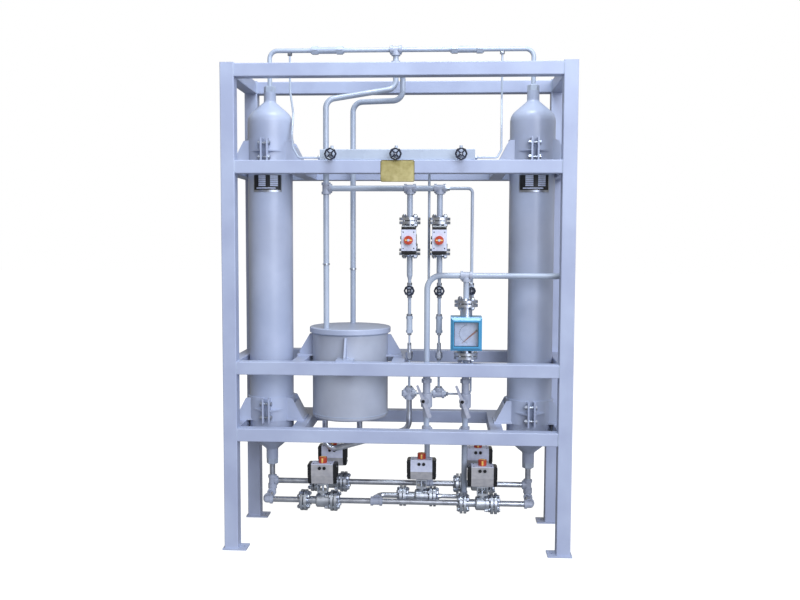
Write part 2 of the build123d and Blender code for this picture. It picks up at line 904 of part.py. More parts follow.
# Forged elbows, tees and crosses
inward = {-1: right, 1: left}
fittings = [
    forged_fitting((header_tee_x, 0, header_z), (left, right, down), bore=header_bore),
    forged_fitting((header_tee_x, 0, drum_tee_z), (up, down, return_way)),
    forged_fitting((drum_pipe_x, middle_header_y, middle_header_z), (up, down, right)),
    forged_fitting((column_a_x, middle_header_y, middle_header_z), (left, right, down)),
    forged_fitting((column_b_x, middle_header_y, middle_header_z), (left, right, down)),
    forged_fitting((column_a_x, middle_header_y, column_tee_z), (up, down, left, right)),
    forged_fitting((column_b_x, middle_header_y, column_tee_z), (up, left, right)),
    forged_fitting((meter_x, outlet_y, outlet_z), (left, right, down)),
    forged_fitting((column_c_x, outlet_y, cross_link_z), (up, right, down)),
    forged_fitting((meter_x, outlet_y, cross_link_z), (up, left, down)),
    forged_fitting((column_c_x, rear_line_y, rear_line_z), (left, right, up)),
    forged_fitting((front_tee_x, front_line_y, front_line_z), (left, right, feed_way)),
    forged_fitting(
        (meter_x, centre_line_y, centre_line_z), (left, up), band=slim_band, body=slim_body, bore=header_bore
    ),
]
for side in (-1, 1):
    x = side * tower_x
    fittings += [
        forged_fitting((x, 0, rear_line_z), (up, down, inward[side])),
        forged_fitting((x, 0, front_line_z), (up, front)),
        forged_fitting((x, front_line_y, front_line_z), (back, inward[side])),
    ]
write_group("forged_fittings", fittings)

# Flanged ball valves. Each is drawn with its flow along X, the stem on Z and the long side at -X,
# as two pieces: a body, and a tail piece that closes it behind the ball
valve_spots = {
    "front_left": Plane((front_left_x, front_line_y, front_line_z)),
    "front_right": Plane((front_right_x, front_line_y, front_line_z)),
    "centre": Plane((centre_valve_x, centre_line_y, centre_line_z)),
    "rear_left": Plane((rear_left_x, rear_line_y, rear_line_z)),
    "rear_right": Plane((rear_right_x, rear_line_y, rear_line_z)),
    "column_a": Plane((column_a_x, middle_header_y, column_valve_z), x_dir=down, z_dir=front),
    "column_b": Plane((column_b_x, middle_header_y, column_valve_z), x_dir=down, z_dir=front),
}
low_spots = [spot.location for name, spot in valve_spots.items() if "column" not in name]
high_spots = [spot.location for name, spot in valve_spots.items() if "column" in name]
body_face = -valve_long + gasket_thickness / 2
tail_face = valve_short - gasket_thickness / 2
seat_radius = ball_diameter / 2 + ball_gap


def flange_plate(diameter=flange_diameter, circle=bolt_circle):
    """Profile of a flange with its four bolt holes."""
    Circle(diameter / 2)
    with PolarLocations(circle / 2, 4, start_angle=45):
        Circle(stud_hole / 2, mode=Mode.SUBTRACT)


with BuildPart() as valve_body_piece:
    with BuildSketch(Plane.YZ.offset(body_face)):
        Circle(flange_face / 2)
    extrude(amount=flange_thickness)
    with BuildSketch(Plane.YZ.offset(body_face + flange_face_height)):
        flange_plate()
    extrude(amount=flange_thickness - flange_face_height)
    with BuildSketch(Plane.YZ.offset(body_face)):
        Circle(valve_neck / 2)
    extrude(amount=-body_face)
    with BuildSketch(Plane.YZ.offset(-valve_body / 2)):
        Circle(valve_body / 2)
    extrude(amount=valve_body / 2 + valve_joint)
    barrel_start = -valve_body / 2
    barrel_rims = valve_body_piece.edges().filter_by_position(Axis.X, barrel_start - 1, barrel_start + 1)
    barrel_rims = barrel_rims.filter_by(GeomType.CIRCLE).filter_by(lambda e: e.radius > valve_neck * 0.8)
    fillet(barrel_rims, radius=barrel_round)
    with BuildSketch(Plane.YZ.offset(valve_joint - joint_thickness)):
        Circle(valve_joint_flange / 2)
    extrude(amount=joint_thickness)
    with BuildSketch():
        Circle(stem_boss / 2)
    extrude(amount=pad_height)
    with BuildSketch(Plane.XY.offset(pad_height - pad_thickness)):
        RectangleRounded(pad_size, pad_size, pad_thickness)
    extrude(amount=pad_thickness)
    with BuildSketch(Plane.YZ.offset(body_face)):
        Circle(pipe_bore / 2)
    extrude(amount=-body_face, mode=Mode.SUBTRACT)
    with BuildSketch(Plane.YZ):
        Circle(seat_radius)
    extrude(amount=valve_joint, mode=Mode.SUBTRACT)
    Sphere(seat_radius, mode=Mode.SUBTRACT)
    with BuildSketch():
        Circle(stem_diameter / 2 + stem_gap)
    extrude(amount=pad_height, mode=Mode.SUBTRACT)

with BuildPart() as tail_piece:
    with BuildSketch(Plane.YZ.offset(valve_joint)):
        Circle(valve_joint_flange / 2)
    extrude(amount=joint_thickness)
    with BuildSketch(Plane.YZ.offset(valve_joint)):
        Circle(valve_neck / 2)
    extrude(amount=tail_face - valve_joint)
    with BuildSketch(Plane.YZ.offset(tail_face - flange_thickness)):
        flange_plate()
    extrude(amount=flange_thickness - flange_face_height)
    with BuildSketch(Plane.YZ.offset(seat_start)):
        Circle(seat_radius - stem_gap)
    extrude(amount=valve_joint - seat_start)
    with BuildSketch(Plane.YZ):
        Circle(pipe_bore / 2)
    extrude(amount=tail_face, mode=Mode.SUBTRACT)

write_group("ball_valve_bodies", [valve_body_piece.part.moved(spot) for spot in low_spots + high_spots])
write_group("ball_valve_tailpieces", [tail_piece.part.moved(spot) for spot in low_spots + high_spots])


# Actuators: a bridge bracket on the valve's pad, a square housing, and a cap at each end of it
def bridge_bracket(height):
    """A bracket open to the front and the back, with the stem through its two plates."""
    with BuildPart() as bracket:
        with BuildSketch(Plane.XZ.offset(-bracket_width / 2)):
            with Locations((0, pad_height + height / 2)):
                Rectangle(bracket_width, height)
                Rectangle(bracket_width - 2 * bracket_wall, height - 2 * bracket_wall, mode=Mode.SUBTRACT)
        extrude(amount=bracket_width)
        with BuildSketch(Plane.XY.offset(pad_height)):
            Circle(stem_diameter / 2 + stem_gap)
        extrude(amount=height, mode=Mode.SUBTRACT)
    return bracket.part


def actuator_outline(base, height, inset=0):
    """End view of an actuator: upright sides, and a lower part that narrows to its base."""
    side = actuator_width / 2 - inset
    Polyline(
        (-actuator_foot / 2, base + inset),
        (actuator_foot / 2, base + inset),
        (side, base + height * housing_waist),
        (side, base + height - inset),
        (-side, base + height - inset),
        (-side, base + height * housing_waist),
        close=True,
    )


def actuator_housing(base, length, height):
    """The housing, with the shaft hole through it."""
    with BuildPart() as housing:
        with BuildSketch(Plane.YZ.offset(-length / 2)):
            with BuildLine():
                actuator_outline(base, height)
            make_face()
            fillet(vertices(), radius=housing_round)
        extrude(amount=length)
        with BuildSketch(Plane.XY.offset(base)):
            Circle(stem_diameter / 2 + stem_gap)
        extrude(amount=height, mode=Mode.SUBTRACT)
    return housing.part


def actuator_caps(base, length, height):
    """The two end caps, a little narrower than the housing, with a bevelled outer rim."""
    caps = []
    for side in (-1, 1):
        with BuildPart() as cap:
            with BuildSketch(Plane.YZ.offset(side * length / 2)):
                with BuildLine():
                    actuator_outline(base, height, cap_inset)
                make_face()
                fillet(vertices(), radius=housing_round)
            extrude(amount=side * (actuator_cap - cap_bevel))
            extrude(
                cap.faces().sort_by(Axis.X)[-1 if side > 0 else 0],
                amount=cap_bevel,
                taper=cap_taper,
            )
        caps.append(cap.part)
    return caps


def air_ports(middle):
    """Two air fittings side by side on the housing's front."""
    with BuildPart() as ports:
        with BuildSketch(Plane.XZ.offset(actuator_width / 2)):
            with Locations((-port_spacing / 2, middle), (port_spacing / 2, middle)):
                Circle(port_diameter / 2)
        extrude(amount=port_length)
    return ports.part


def valve_rotor(housing_top, indicator):
    """The bored ball, the stem up through bracket and housing, and the indicator on top."""
    with BuildPart() as rotor:
        Sphere(ball_diameter / 2)
        with BuildSketch():
            Circle(stem_diameter / 2)
        extrude(amount=housing_top + indicator)
        with BuildSketch(Plane.YZ.offset(-ball_diameter / 2)):
            Circle(ball_bore / 2)
        extrude(amount=ball_diameter, mode=Mode.SUBTRACT)
        with BuildSketch(Plane.XY.offset(housing_top + stem_gap)):
            Circle(indicator_diameter / 2)
        extrude(amount=indicator)
        with BuildSketch(Plane.XY.offset(housing_top + stem_gap + indicator)):
            Rectangle(indicator_diameter * 0.7, indicator_diameter * 0.24)
        extrude(amount=3)
    return rotor.part


low_base = pad_height + bracket_height
high_base = pad_height + upper_bracket_height
brackets = [bridge_bracket(bracket_height).moved(spot) for spot in low_spots]
brackets += [bridge_bracket(upper_bracket_height).moved(spot) for spot in high_spots]
write_group("actuator_brackets", brackets)
housings = [actuator_housing(low_base, actuator_length, actuator_height).moved(spot) for spot in low_spots]
high_housing = actuator_housing(high_base, upper_actuator_length, upper_actuator_height)
housings += [high_housing.moved(spot) for spot in high_spots]
write_group("actuator_housings", housings)
low_caps = actuator_caps(low_base, actuator_length, actuator_height)
high_caps = actuator_caps(high_base, upper_actuator_length, upper_actuator_height)
caps = [cap.moved(spot) for spot in low_spots for cap in low_caps]
caps += [cap.moved(spot) for spot in high_spots for cap in high_caps]
write_group("actuator_end_caps", caps)
for name, spot in valve_spots.items():
    if "column" in name:
        rotor = valve_rotor(high_base + upper_actuator_height, upper_indicator_height)
    else:
        rotor = valve_rotor(low_base + actuator_height, indicator_height)
    rotor = rotor.moved(spot.location)
    rotor.label = f"valve_rotor_{name}"
    export_step(rotor, f"parts/valve_rotor_{name}.step")


# Pipe flanges and gaskets. A flange is drawn with its gasket at Z 0 and its hub up
def pipe_flange(bore=pipe_bore, diameter=flange_diameter, circle=bolt_circle):
    """A flange with a raised face and a short hub, bored for its pipe."""
    with BuildPart() as flange:
        with BuildSketch(Plane.XY.offset(flange_face_height)):
            flange_plate(diameter, circle)
        extrude(amount=flange_thickness - flange_face_height)
        with BuildSketch():
            Circle(flange_face / 2)
        extrude(amount=flange_thickness)
        with BuildSketch(Plane.XY.offset(flange_thickness)):
            Circle(flange_hub / 2)
        with BuildSketch(Plane.XY.offset(flange_thickness + flange_hub_height)):
            Circle(pipe_outside / 2)
        loft()
        with BuildSketch():
            Circle(bore / 2)
        extrude(amount=flange_thickness + flange_hub_height, mode=Mode.SUBTRACT)
    return flange.part


with BuildPart() as gasket:
    with BuildSketch(Plane.XY.offset(-gasket_thickness / 2)):
        Circle(flange_face / 2)
        Circle(pipe_bore / 2, mode=Mode.SUBTRACT)
    extrude(amount=gasket_thickness)

line_flange = pipe_flange()
meter_flange = pipe_flange(pipe_bore, meter_flange_diameter, meter_bolt_circle)
flanges = []
gaskets = []
flange_offset = Location((0, 0, gasket_thickness / 2))
for spot in valve_spots.values():
    for distance, turn in ((-valve_long, -90), (valve_short, 90)):
        joint = spot.location * Location((distance, 0, 0), (0, turn, 0))
        flanges.append(line_flange.moved(joint * flange_offset))
        gaskets.append(gasket.part.moved(joint))
for level, turn in ((meter_flange_z, 0), (meter_low_flange_z, 180)):
    joint = Location((meter_x, outlet_y, level), (turn, 0, 0))
    flanges.append(meter_flange.moved(joint * flange_offset))
    gaskets.append(gasket.part.moved(joint))
write_group("pipe_flanges", flanges)
write_group("flange_gaskets", gaskets)

# Flow meter: a tube between two flanges, and a case around the tube with a window on its front
tube_low = meter_low_flange_z + gasket_thickness / 2
tube_high = meter_flange_z - gasket_thickness / 2
with BuildPart() as meter_tube_piece:
    for level, side in ((tube_low, 1), (tube_high, -1)):
        with BuildSketch(Plane.XY.offset(level)):
            with Locations((meter_x, outlet_y)):
                Circle(flange_face / 2)
        extrude(amount=side * flange_thickness)
        with BuildSketch(Plane.XY.offset(level + side * flange_face_height)):
            with Locations((meter_x, outlet_y)):
                flange_plate(meter_flange_diameter, meter_bolt_circle)
        extrude(amount=side * (flange_thickness - flange_face_height))
    with BuildSketch(Plane.XY.offset(tube_low + flange_thickness)):
        with Locations((meter_x, outlet_y)):
            Circle(meter_tube / 2)
    extrude(amount=tube_high - tube_low - 2 * flange_thickness)
    with BuildSketch(Plane.XY.offset(tube_low + flange_thickness)):
        with Locations((meter_x, outlet_y)):
            Circle(meter_bore / 2)
    extrude(amount=tube_high - tube_low - 2 * flange_thickness, mode=Mode.SUBTRACT)
    with BuildSketch(Plane.XY.offset(tube_low)):
        with Locations((meter_x, outlet_y)):
            Circle(pipe_bore / 2)
    extrude(amount=tube_high - tube_low, mode=Mode.SUBTRACT)
meter_tube_piece.part.label = "meter_tube"
export_step(meter_tube_piece.part, "parts/meter_tube.step")

case_middle = (tube_low + tube_high) / 2 + case_rise
dial_back = case_front + window_depth
pivot_x = meter_x + pointer_pivot
pivot_z = case_middle + pointer_rise
with BuildPart() as meter_case:
    with BuildSketch(Plane.XZ.offset(-case_back)):
        with Locations((meter_x, case_middle)):
            Rectangle(case_width, case_height)
    extrude(amount=case_back - case_front)
    chamfer(meter_case.faces().sort_by(Axis.Y)[0].edges(), length=case_bevel)
    with BuildSketch(Plane.XZ.offset(-case_front)):
        with Locations((meter_x, case_middle)):
            Rectangle(window_size, window_size)
    extrude(amount=-window_depth, mode=Mode.SUBTRACT)
    with BuildSketch(Plane.XY.offset(tube_low)):
        with Locations((meter_x, outlet_y)):
            Circle(meter_tube / 2 + clamp_clearance / 2)
    extrude(amount=tube_high - tube_low, mode=Mode.SUBTRACT)
    with BuildSketch(Plane.XZ.offset(-dial_back)):
        with Locations((pivot_x, pivot_z)):
            Circle(pointer_shaft / 2 + spindle_gap)
    extrude(amount=-pointer_depth, mode=Mode.SUBTRACT)
meter_case.part.label = "meter_case"
export_step(meter_case.part, "parts/meter_case.step")

with BuildPart() as meter_dial:
    with BuildSketch(Plane.XZ.offset(-dial_back)):
        with Locations((meter_x, case_middle)):
            Rectangle(window_size, window_size)
        with Locations((pivot_x, pivot_z)):
            Circle(pointer_shaft / 2 + spindle_gap, mode=Mode.SUBTRACT)
    extrude(amount=dial_thickness)
meter_dial.part.label = "meter_dial"
export_step(meter_dial.part, "parts/meter_dial.step")

with BuildPart() as meter_window:
    with BuildSketch(Plane.XZ.offset(-case_front - glass_inset)):
        with Locations((meter_x, case_middle)):
            Rectangle(window_size, window_size)
    extrude(amount=-glass_thickness)
meter_window.part.label = "meter_window"
export_step(meter_window.part, "parts/meter_window.step")

pointer_plane = Plane((pivot_x, dial_back - dial_thickness - pointer_lift, pivot_z), x_dir=left, z_dir=front)
with BuildPart() as meter_pointer:
    with BuildSketch(pointer_plane):
        Circle(pointer_hub / 2)
        with BuildLine():
            tip_x, tip_y = polar(pointer_length, pointer_drop)
            root_x, root_y = polar(pointer_hub * 0.4, pointer_drop + 90)
            Polyline((tip_x, tip_y), (root_x, root_y), (-root_x, -root_y), close=True)
        make_face()
    extrude(amount=pointer_thickness)
    with BuildSketch(pointer_plane):
        Circle(pointer_shaft / 2)
    extrude(amount=-pointer_lift - dial_thickness - pointer_depth + 1)
meter_pointer.part.label = "meter_pointer"
export_step(meter_pointer.part, "parts/meter_pointer.step")


# Lever valves: the flow runs along Z and the stem comes out to the front, turned a little to the left
lever_out = (-sin(radians(lever_turn)), -cos(radians(lever_turn)), 0)


def lever_valve_body(x):
    """A body with a neck above and below it, and a round boss for the stem."""
    with BuildPart() as body:
        for diameter, low, high in (
            (lever_neck, lever_valve_z - lever_valve_down, lever_valve_z + lever_valve_up),
            (lever_body, lever_valve_z - lever_body * 0.65, lever_valve_z + lever_body * 0.65),
        ):
            with BuildSketch(Plane.XY.offset(low)):
                with Locations((x, outlet_y)):
                    Circle(diameter / 2)
            extrude(amount=high - low)
        rims = body.edges().filter_by(GeomType.CIRCLE).filter_by(lambda e: e.radius > lever_neck * 0.6)
        fillet(rims, radius=lever_round)
        stem_way = Plane(origin=(x, outlet_y, lever_valve_z), x_dir=up, z_dir=lever_out)
        for diameter, depth in ((lever_cheek, lever_cheek_depth), (lever_boss, lever_pad)):
            with BuildSketch(stem_way):
                Circle(diameter / 2)
            extrude(amount=lever_body / 2 + depth)
        with BuildSketch(Plane.XY.offset(lever_low)):
            with Locations((x, outlet_y)):
                Circle(pipe_bore / 2)
        extrude(amount=lever_valve_down + lever_valve_up, mode=Mode.SUBTRACT)
        with Locations((x, outlet_y, lever_valve_z)):
            Sphere(seat_radius, mode=Mode.SUBTRACT)
        with BuildSketch(stem_way):
            Circle(lever_stem / 2 + stem_gap)
        extrude(amount=lever_body / 2 + lever_pad, mode=Mode.SUBTRACT)
    return body.part


def lever_rotor():
    """A bored ball on its stem, with a bar handle; drawn with the stem on Z and the flow on X."""
    base = lever_body / 2 + lever_pad + stem_gap
    with BuildPart() as rotor:
        Sphere(ball_diameter / 2)
        with BuildSketch():
            Circle(lever_stem / 2)
        extrude(amount=base + lever_thickness)
        with BuildSketch(Plane.YZ.offset(-ball_diameter / 2)):
            Circle(ball_bore / 2)
        extrude(amount=ball_diameter, mode=Mode.SUBTRACT)
        with BuildSketch(Plane.XY.offset(base)):
            with BuildLine():
                Polyline(
                    (-lever_length / 2, -lever_width / 2),
                    (lever_length / 2, -lever_tip_width / 2),
                    (lever_length / 2, lever_tip_width / 2),
                    (-lever_length / 2, lever_width / 2),
                    close=True,
                )
            make_face()
            fillet(vertices(), radius=lever_tip_width * 0.45)
            Circle(lever_washer / 2)
        extrude(amount=lever_thickness)
        with BuildSketch(Plane.XY.offset(base + lever_thickness)):
            RegularPolygon(lever_washer * 0.3, 6, major_radius=False)
        extrude(amount=lever_nut)
    return rotor.part


with BuildPart() as union:
    with BuildSketch(Plane.XY.offset(union_top - union_length)):
        Circle(union_flats * 0.42)
    extrude(amount=union_length)
    with BuildSketch(Plane.XY.offset(union_top - union_length * 0.75)):
        RegularPolygon(union_flats / 2, 6, major_radius=False)
    extrude(amount=union_length * 0.5)
    with BuildSketch(Plane.XY.offset(union_top - union_length)):
        Circle(pipe_bore / 2)
    extrude(amount=union_length, mode=Mode.SUBTRACT)

lever_bodies = []
unions = []
lean_x = sin(radians(lever_lean))
handle_way = (lever_out[1] * lean_x, -lever_out[0] * lean_x, cos(radians(lever_lean)))
for name, x in (("left", column_c_x), ("right", meter_x)):
    lever_bodies.append(lever_valve_body(x))
    unions.append(union.part.moved(Location((x, outlet_y, 0))))
    lever = stand(lever_rotor(), (x, outlet_y, lever_valve_z), lever_out, handle_way)
    lever.label = f"lever_{name}"
    export_step(lever, f"parts/lever_{name}.step")
write_group("lever_valve_bodies", lever_bodies)
write_group("pipe_unions", unions)


# Needle valves: a block on the tube and a bonnet to the front
def needle_valve_body(x, y, z, bonnet):
    with BuildPart() as body:
        with BuildSketch(Plane.XY.offset(z - needle_height / 2)):
            with Locations((x, y)):
                Circle(needle_depth * 0.42)
        extrude(amount=needle_height)
        with BuildSketch(Plane.XY.offset(z - needle_width / 2)):
            with Locations((x, y)):
                RectangleRounded(needle_width, needle_depth, needle_round)
        extrude(amount=needle_width)
        with BuildSketch(Plane.XZ.offset(-y)):
            with Locations((x, z)):
                Circle(bonnet_diameter / 2)
        extrude(amount=needle_depth / 2 + bonnet)
        with BuildSketch(Plane.XY.offset(z - needle_height / 2)):
            with Locations((x, y)):
                Circle(tube_bore / 2)
        extrude(amount=needle_height, mode=Mode.SUBTRACT)
        with BuildSketch(Plane.XZ.offset(-y)):
            with Locations((x, z)):
                Circle(spindle_diameter / 2 + spindle_gap)
        extrude(amount=needle_depth / 2 + bonnet, mode=Mode.SUBTRACT)
    return body.part


def handwheel(diameter, reach, spindle):
    """A ring with four spokes and a hub at Z 0, and a spindle that runs back along -Z."""
    with BuildPart() as wheel:
        with BuildSketch():
            Circle(diameter / 2)
            Circle(diameter / 2 - wheel_rim, mode=Mode.SUBTRACT)
        extrude(amount=wheel_rim)
        chamfer(wheel.edges(), length=wheel_rim * 0.25)
        with BuildSketch(Plane.XY.offset(wheel_rim * 0.25)):
            for turn in (45, 135):
                with Locations(Location((0, 0, 0), (0, 0, turn))):
                    Rectangle(diameter - wheel_rim, wheel_spoke)
        extrude(amount=wheel_rim * 0.5)
        with BuildSketch():
            Circle(wheel_hub / 2)
        extrude(amount=wheel_rim)
        with BuildSketch():
            Circle(spindle_diameter / 2)
        extrude(amount=-reach - spindle)
    return wheel.part


# A wheel is set by its front face: reach is the free length of its spindle, outside the bonnet
needle_bodies = [
    needle_valve_body(column_a_x, middle_header_y, column_needle_z, bonnet_length),
    needle_valve_body(column_b_x, middle_header_y, column_needle_z, bonnet_length),
    needle_valve_body(bypass_x, middle_header_y, column_needle_z, bypass_bonnet),
]
write_group("needle_valve_bodies", needle_bodies)
wheel_set = []
for name, x, bonnet, size, reach in (
    ("column_a", column_a_x, bonnet_length, wheel_diameter, wheel_stand_off),
    ("column_b", column_b_x, bonnet_length, wheel_diameter, wheel_stand_off),
    ("bypass", bypass_x, bypass_bonnet, bypass_wheel, bypass_stand_off),
):
    face = middle_header_y - needle_depth / 2 - bonnet - reach
    spindle = bonnet + needle_depth / 2 - tube_bore / 2
    wheel_set.append((name, (x, face, column_needle_z), size, reach, spindle))

# Manifold bar on the upper front rail, with three valves on its front and a stub on each
manifold_y = -half_depth + manifold_set_back + manifold_depth / 2
manifold_z = upper_rail_z + manifold_height / 2
manifold_wheel_step = manifold_length / 2 - manifold_end_margin
manifold_places = [manifold_wheel_x + step * manifold_wheel_step for step in (-1, 0, 1)]
with BuildPart() as manifold_bar:
    with BuildSketch(Plane.YZ.offset(-manifold_length / 2)):
        with Locations((manifold_y, manifold_z)):
            Rectangle(manifold_depth, manifold_height)
    extrude(amount=manifold_length)
    chamfer(manifold_bar.edges().filter_by(Axis.X), length=3)
    with BuildSketch(Plane.XZ.offset(-manifold_y)):
        with Locations(*[(x, manifold_z) for x in manifold_places]):
            Circle(bonnet_diameter / 2)
    extrude(amount=manifold_depth / 2 + bonnet_length)
    with BuildSketch(Plane.XY.offset(manifold_z)):
        with Locations(*[(x, manifold_y) for x in manifold_places]):
            Circle(wheel_hub / 2)
    extrude(amount=manifold_height / 2 + bonnet_length)
    with BuildSketch(Plane.XZ.offset(-manifold_y)):
        with Locations(*[(x, manifold_z) for x in manifold_places]):
            Circle(spindle_diameter / 2 + spindle_gap)
    extrude(amount=manifold_depth / 2 + bonnet_length, mode=Mode.SUBTRACT)
    with BuildSketch(Plane.YZ.offset(-manifold_length / 2)):
        with Locations((manifold_y, manifold_z)):
            Circle(tube_bore / 2)
    extrude(amount=manifold_length, mode=Mode.SUBTRACT)
manifold_bar.part.label = "manifold_bar"
export_step(manifold_bar.part, "parts/manifold_bar.step")
for name, x in zip(("left", "middle", "right"), manifold_places):
    face = manifold_y - manifold_depth / 2 - bonnet_length - manifold_stand_off
    spindle = bonnet_length + manifold_depth / 2 - tube_bore / 2
    wheel_set.append((f"manifold_{name}", (x, face, manifold_z), manifold_wheel, manifold_stand_off, spindle))

for name, place, size, reach, spindle in wheel_set:
    wheel = stand(handwheel(size, reach, spindle), place, front)
    wheel.label = f"handwheel_{name}"
    export_step(wheel, f"parts/handwheel_{name}.step")


# Check valves: a round body with a hexagon at each end
def check_valve(length, diameter, hexagon, hexagon_length, bore):
    """A check valve on Z with its middle at Z 0."""
    with BuildPart() as valve:
        with BuildSketch(Plane.XY.offset(-length / 2)):
            Circle(diameter / 2)
        extrude(amount=length)
        for level in (-length / 2 + hexagon_length * 0.2, length / 2 - hexagon_length * 1.2):
            with BuildSketch(Plane.XY.offset(level)):
                RegularPolygon(hexagon / 2, 6, major_radius=False)
            extrude(amount=hexagon_length)
        with BuildSketch(Plane.XY.offset(-length / 2)):
            Circle(bore / 2)
        extrude(amount=length, mode=Mode.SUBTRACT)
    return valve.part


top_check = check_valve(
    top_check_length, top_check_diameter, top_check_hex, top_check_hex_length, header_bore
)
column_check = check_valve(check_length, check_diameter, check_hex, check_hex_length, tube_bore)
check_valves = [stand(top_check, (x, 0, header_z), right, back) for x in top_check_x]
for x in (column_a_x, column_b_x):
    check_valves.append(column_check.moved(Location((x, middle_header_y, column_check_z))))
write_group("check_valve_bodies", check_valves)


# Small tube fittings: bushings, plugs, stacks, the link fitting, tube nuts and air ports
def bushing(bore):
    """A hexagon that closes a fitting's arm, with a shank inside it; its seat is at Z 0."""
    with BuildPart() as piece:
        with BuildSketch():
            RegularPolygon(bushing_flats / 2, 6, major_radius=False)
        extrude(amount=bushing_height)
        with BuildSketch():
            Circle(pipe_bore / 2 - clamp_clearance / 2)
        extrude(amount=-bushing_shank)
        if bore > 0:
            with BuildSketch(Plane.XY.offset(-bushing_shank)):
                Circle(bore / 2)
            extrude(amount=bushing_shank + bushing_height, mode=Mode.SUBTRACT)
    return piece.part


with BuildPart() as stack:
    with BuildSketch(Plane.XY.offset(stack_top - stack_height)):
        RegularPolygon(stack_flats / 2, 6, major_radius=False)
    extrude(amount=stack_height * 0.45)
    with BuildSketch(Plane.XY.offset(stack_top - stack_height)):
        Circle(stack_diameter / 2)
    extrude(amount=stack_height)
    with BuildSketch(Plane.XY.offset(stack_top - stack_height)):
        Circle(tube_bore / 2)
    extrude(amount=stack_height, mode=Mode.SUBTRACT)

with BuildPart() as pipe_collar:
    with BuildSketch():
        Circle(collar_outside / 2)
        Circle(pipe_outside / 2 + clamp_clearance / 2, mode=Mode.SUBTRACT)
    extrude(amount=collar_length)

link_x = column_c_x + link_offset
y = middle_header_y
tube_fittings = [
    stand(bushing(bypass_bore), (column_b_x + fitting_reach, y, middle_header_z), right, back),
    stand(bushing(tube_bore), (column_b_x + fitting_reach, y, column_tee_z), right, back),
    stand(bushing(tube_bore), (column_b_x - fitting_reach, y, column_tee_z), left, back),
    stand(bushing(tube_bore), (column_a_x + fitting_reach, y, column_tee_z), right, back),
    stand(bushing(0), (column_a_x - fitting_reach, y, column_tee_z), left, back),
    forged_fitting(
        (link_x, y, column_tee_z),
        (left, right, back),
        small_fitting_reach,
        small_fitting_band,
        small_fitting_band * 0.8,
        tube_bore,
    ),
    pipe_collar.part.moved(Location((drum_pipe_x, y, collar_z))),
    pipe_collar.part.moved(Location((drum_return_x, drum_return_y, collar_z - collar_length * 5))),
]
for x in (column_a_x, column_b_x):
    tube_fittings.append(stand(bushing(tube_bore), (x, y, column_tee_z + fitting_reach), up))
    tube_fittings.append(stack.part.moved(Location((x, y, 0))))
low_port = low_base + actuator_height * low_port_share
high_port = high_base + upper_actuator_height * high_port_share
tube_fittings += [air_ports(low_port).moved(spot) for spot in low_spots]
tube_fittings += [air_ports(high_port).moved(spot) for spot in high_spots]
write_group("tube_fittings", tube_fittings)

# Tubes between the columns: the bypass, the links and the drop tube
bypass_start = column_b_x + fitting_reach + bushing_height
column_tubes = [
    pipe_run(
        [(bypass_start, y, middle_header_z), (bypass_x, y, middle_header_z), (bypass_x, y, needle_top)],
        return_bend,
        bypass_tube,
        bypass_bore,
    ),
    pipe_run(
        [(bypass_x, y, needle_low), (bypass_x, y, column_tee_z), (bypass_start, y, column_tee_z)],
        return_bend,
        tube_outside,
        tube_bore,
    ),
    pipe_run(
        [
            (link_x, manifold_y + manifold_depth / 2, drop_z),
            (link_x, drop_y, drop_z),
            (link_x, drop_y, column_tee_z),
            (link_x, y + small_fitting_reach, column_tee_z),
        ],
        drop_bend,
        drop_tube,
        tube_bore,
    ),
]
link_stops = (
    (column_a_x + fitting_reach + bushing_height, link_x - small_fitting_reach),
    (link_x + small_fitting_reach, column_b_x - fitting_reach - bushing_height),
)
column_tubes += straight_between(link_stops, y, column_tee_z, tube_outside, tube_bore)
write_group("column_tubes", column_tubes)

# Instrument tubes: from a tap under the top header down to each end of the manifold
tap_z = header_z - header_outside / 2
instrument_tubes = []
for side, spacing, steps in (
    (-1, left_tap_spacing, left_tube_steps),
    (1, right_tap_spacing, right_tube_steps),
):
    tap_x = side * (tower_x - spacing)
    route = [
        (tap_x, 0, tap_z),
        *[(tap_x + across, depth, upper_rail_z + rise) for across, depth, rise in steps],
        (side * (manifold_length / 2 + manifold_turn_reach), manifold_y, instrument_z),
        (side * manifold_length / 2, manifold_y, instrument_z),
    ]
    instrument_tubes.append(pipe_run(route, instrument_bend, tube_outside, tube_bore))
write_group("instrument_tubes", instrument_tubes)
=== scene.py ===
import bpy
import bmesh
import math
from mathutils import Matrix, Vector


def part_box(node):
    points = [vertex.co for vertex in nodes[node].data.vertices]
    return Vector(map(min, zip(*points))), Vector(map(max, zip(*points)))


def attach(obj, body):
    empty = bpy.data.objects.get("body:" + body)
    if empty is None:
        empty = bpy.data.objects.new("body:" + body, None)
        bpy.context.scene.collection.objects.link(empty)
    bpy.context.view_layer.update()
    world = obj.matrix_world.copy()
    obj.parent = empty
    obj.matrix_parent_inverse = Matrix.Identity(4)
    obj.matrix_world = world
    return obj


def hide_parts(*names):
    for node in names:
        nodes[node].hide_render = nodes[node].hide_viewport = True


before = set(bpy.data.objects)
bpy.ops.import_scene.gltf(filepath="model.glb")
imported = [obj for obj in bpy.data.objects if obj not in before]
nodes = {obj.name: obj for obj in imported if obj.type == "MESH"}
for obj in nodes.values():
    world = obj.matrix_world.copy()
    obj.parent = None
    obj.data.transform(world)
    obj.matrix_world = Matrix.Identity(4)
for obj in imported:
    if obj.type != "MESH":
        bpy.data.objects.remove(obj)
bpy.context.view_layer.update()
skid = "skid"
print("frame loaded:", len(nodes), "nodes")


def linear(hexText):
    # an sRGB hex value as a linear colour
    channels = [int(hexText[i:i + 2], 16) / 255 for i in (1, 3, 5)]
    return [c / 12.92 if c <= 0.04045 else ((c + 0.055) / 1.055) ** 2.4 for c in channels] + [1.0]


